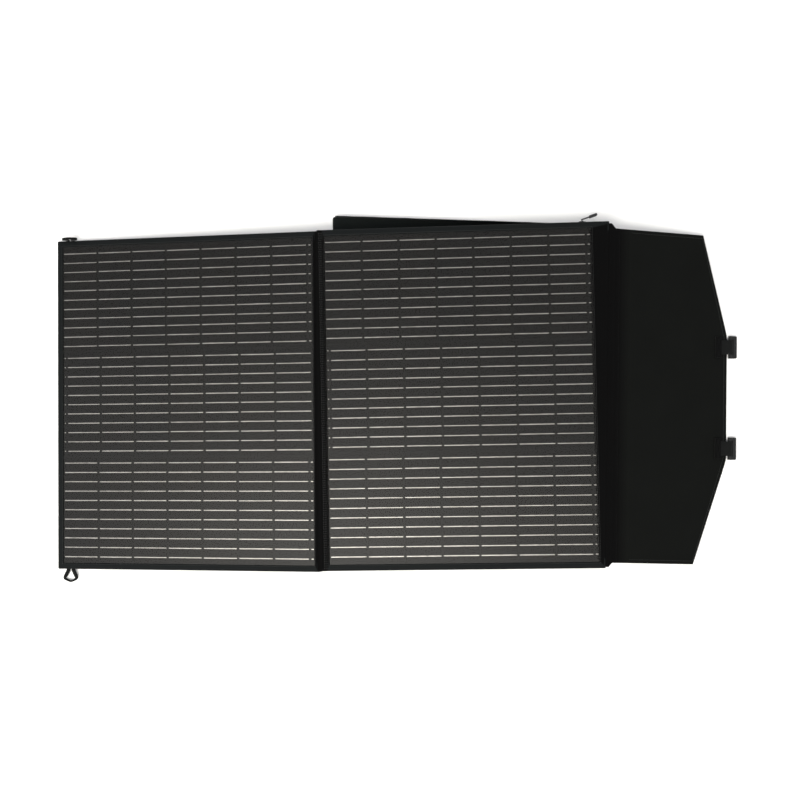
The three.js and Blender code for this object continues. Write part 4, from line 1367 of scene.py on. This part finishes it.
# The camera stands almost straight above the case, a little over a metre away. Its turn is about
# X, Y and Z, and it is placed by where it sees the upper inner corner of the right panel's cells.
CAMERA_TURN = (-0.0231, -0.0486, 0.0210)
CELL_CORNER = (11.5, 268.7, 0)
CELL_CORNER_IN_VIEW = (-129.12, 269.04, -1360.75)


def build_floor():
    bpy.ops.mesh.primitive_plane_add(size=12)
    floor = bpy.context.object
    floor.name = "floor"
    shader = Shader("floor_paper", (0.93, 0.93, 0.93), 0.9, Specular_IOR_Level=0.1)
    patches = shader.noise(shader.place(None), 200, 2)
    paper = shader.finish(Base_Color=shader.mix(patches, (0.92, 0.92, 0.92), (0.94, 0.94, 0.94)))
    floor.data.materials.append(paper)


def build_light():
    """Even white light from all sides; lamps are placed and sized in metres and have watts."""
    scene = bpy.context.scene
    scene.world = bpy.data.worlds.new("studio")
    scene.world.use_nodes = True
    background = scene.world.node_tree.nodes["Background"]
    background.inputs["Color"].default_value = (1, 1, 1, 1)
    background.inputs["Strength"].default_value = 0.6
    scene.view_settings.view_transform = "Standard"

    # The key is a soft box whose reflection in the covers falls just below the panels.
    key = add_lamp("key", spot=(-0.34, -0.80, 1.7), aim=(-0.2, -0.2, 0), size=1.6, power=44)
    key.shape = "RECTANGLE"
    key.size_y = 1.0
    key.color = (1.0, 0.97, 0.90)
    add_lamp("north_fill", spot=(-0.3, 2.2, 1.0), aim=(0, 0.2, 0), size=1.6, power=20)
    add_lamp("west_fill", spot=(-2.2, -0.4, 1.0), aim=(-0.2, 0, 0), size=1.6, power=14)
    add_lamp("east_fill", spot=(2.2, -0.2, 1.0), aim=(0.2, 0, 0), size=1.6, power=14)


def add_lamp(name, spot, aim, size, power):
    light = bpy.data.lights.new(name, "AREA")
    light.size = size
    light.energy = power
    lamp = bpy.data.objects.new(name, light)
    lamp.location = spot
    lamp.rotation_euler = (Vector(aim) - Vector(spot)).to_track_quat("-Z", "Y").to_euler()
    bpy.context.scene.collection.objects.link(lamp)
    return light


def build_camera():
    """Camera whose lens is as long as its sensor is wide."""
    about_x, about_y, about_z = [Matrix.Rotation(a, 3, axis) for a, axis in zip(CAMERA_TURN, "XYZ")]
    turn = (about_z @ about_y @ about_x).transposed()
    position = RIGHT @ Vector(CELL_CORNER) - turn @ Vector(CELL_CORNER_IN_VIEW)
    camera = bpy.data.cameras.new("camera")
    camera.sensor_width = 36
    camera.lens = 36
    view = bpy.data.objects.new("camera", camera)
    view.matrix_world = Matrix.Translation(position * MM) @ turn.to_4x4()
    bpy.context.scene.collection.objects.link(view)
    bpy.context.scene.camera = view


for panel_name in PANELS:
    build_panel(panel_name)
build_side_stitches()
build_hinge()
build_spine()
build_flap()
build_clip("upper", CLIP_SPACING / 2)
build_clip("lower", -CLIP_SPACING / 2)
build_loop("upper", 1, math.radians(92), 7.0, 4.2)
build_loop("lower", -1, math.radians(-3), -0.5, 1.7)
build_pouch()
build_outer_tape()
build_inner_tape()
build_handle()
build_stand("right", RIGHT_WIDTH / 2)
build_stand("left", LEFT_STAND_X)
finish_hard_pieces()
build_floor()
build_light()
build_camera()
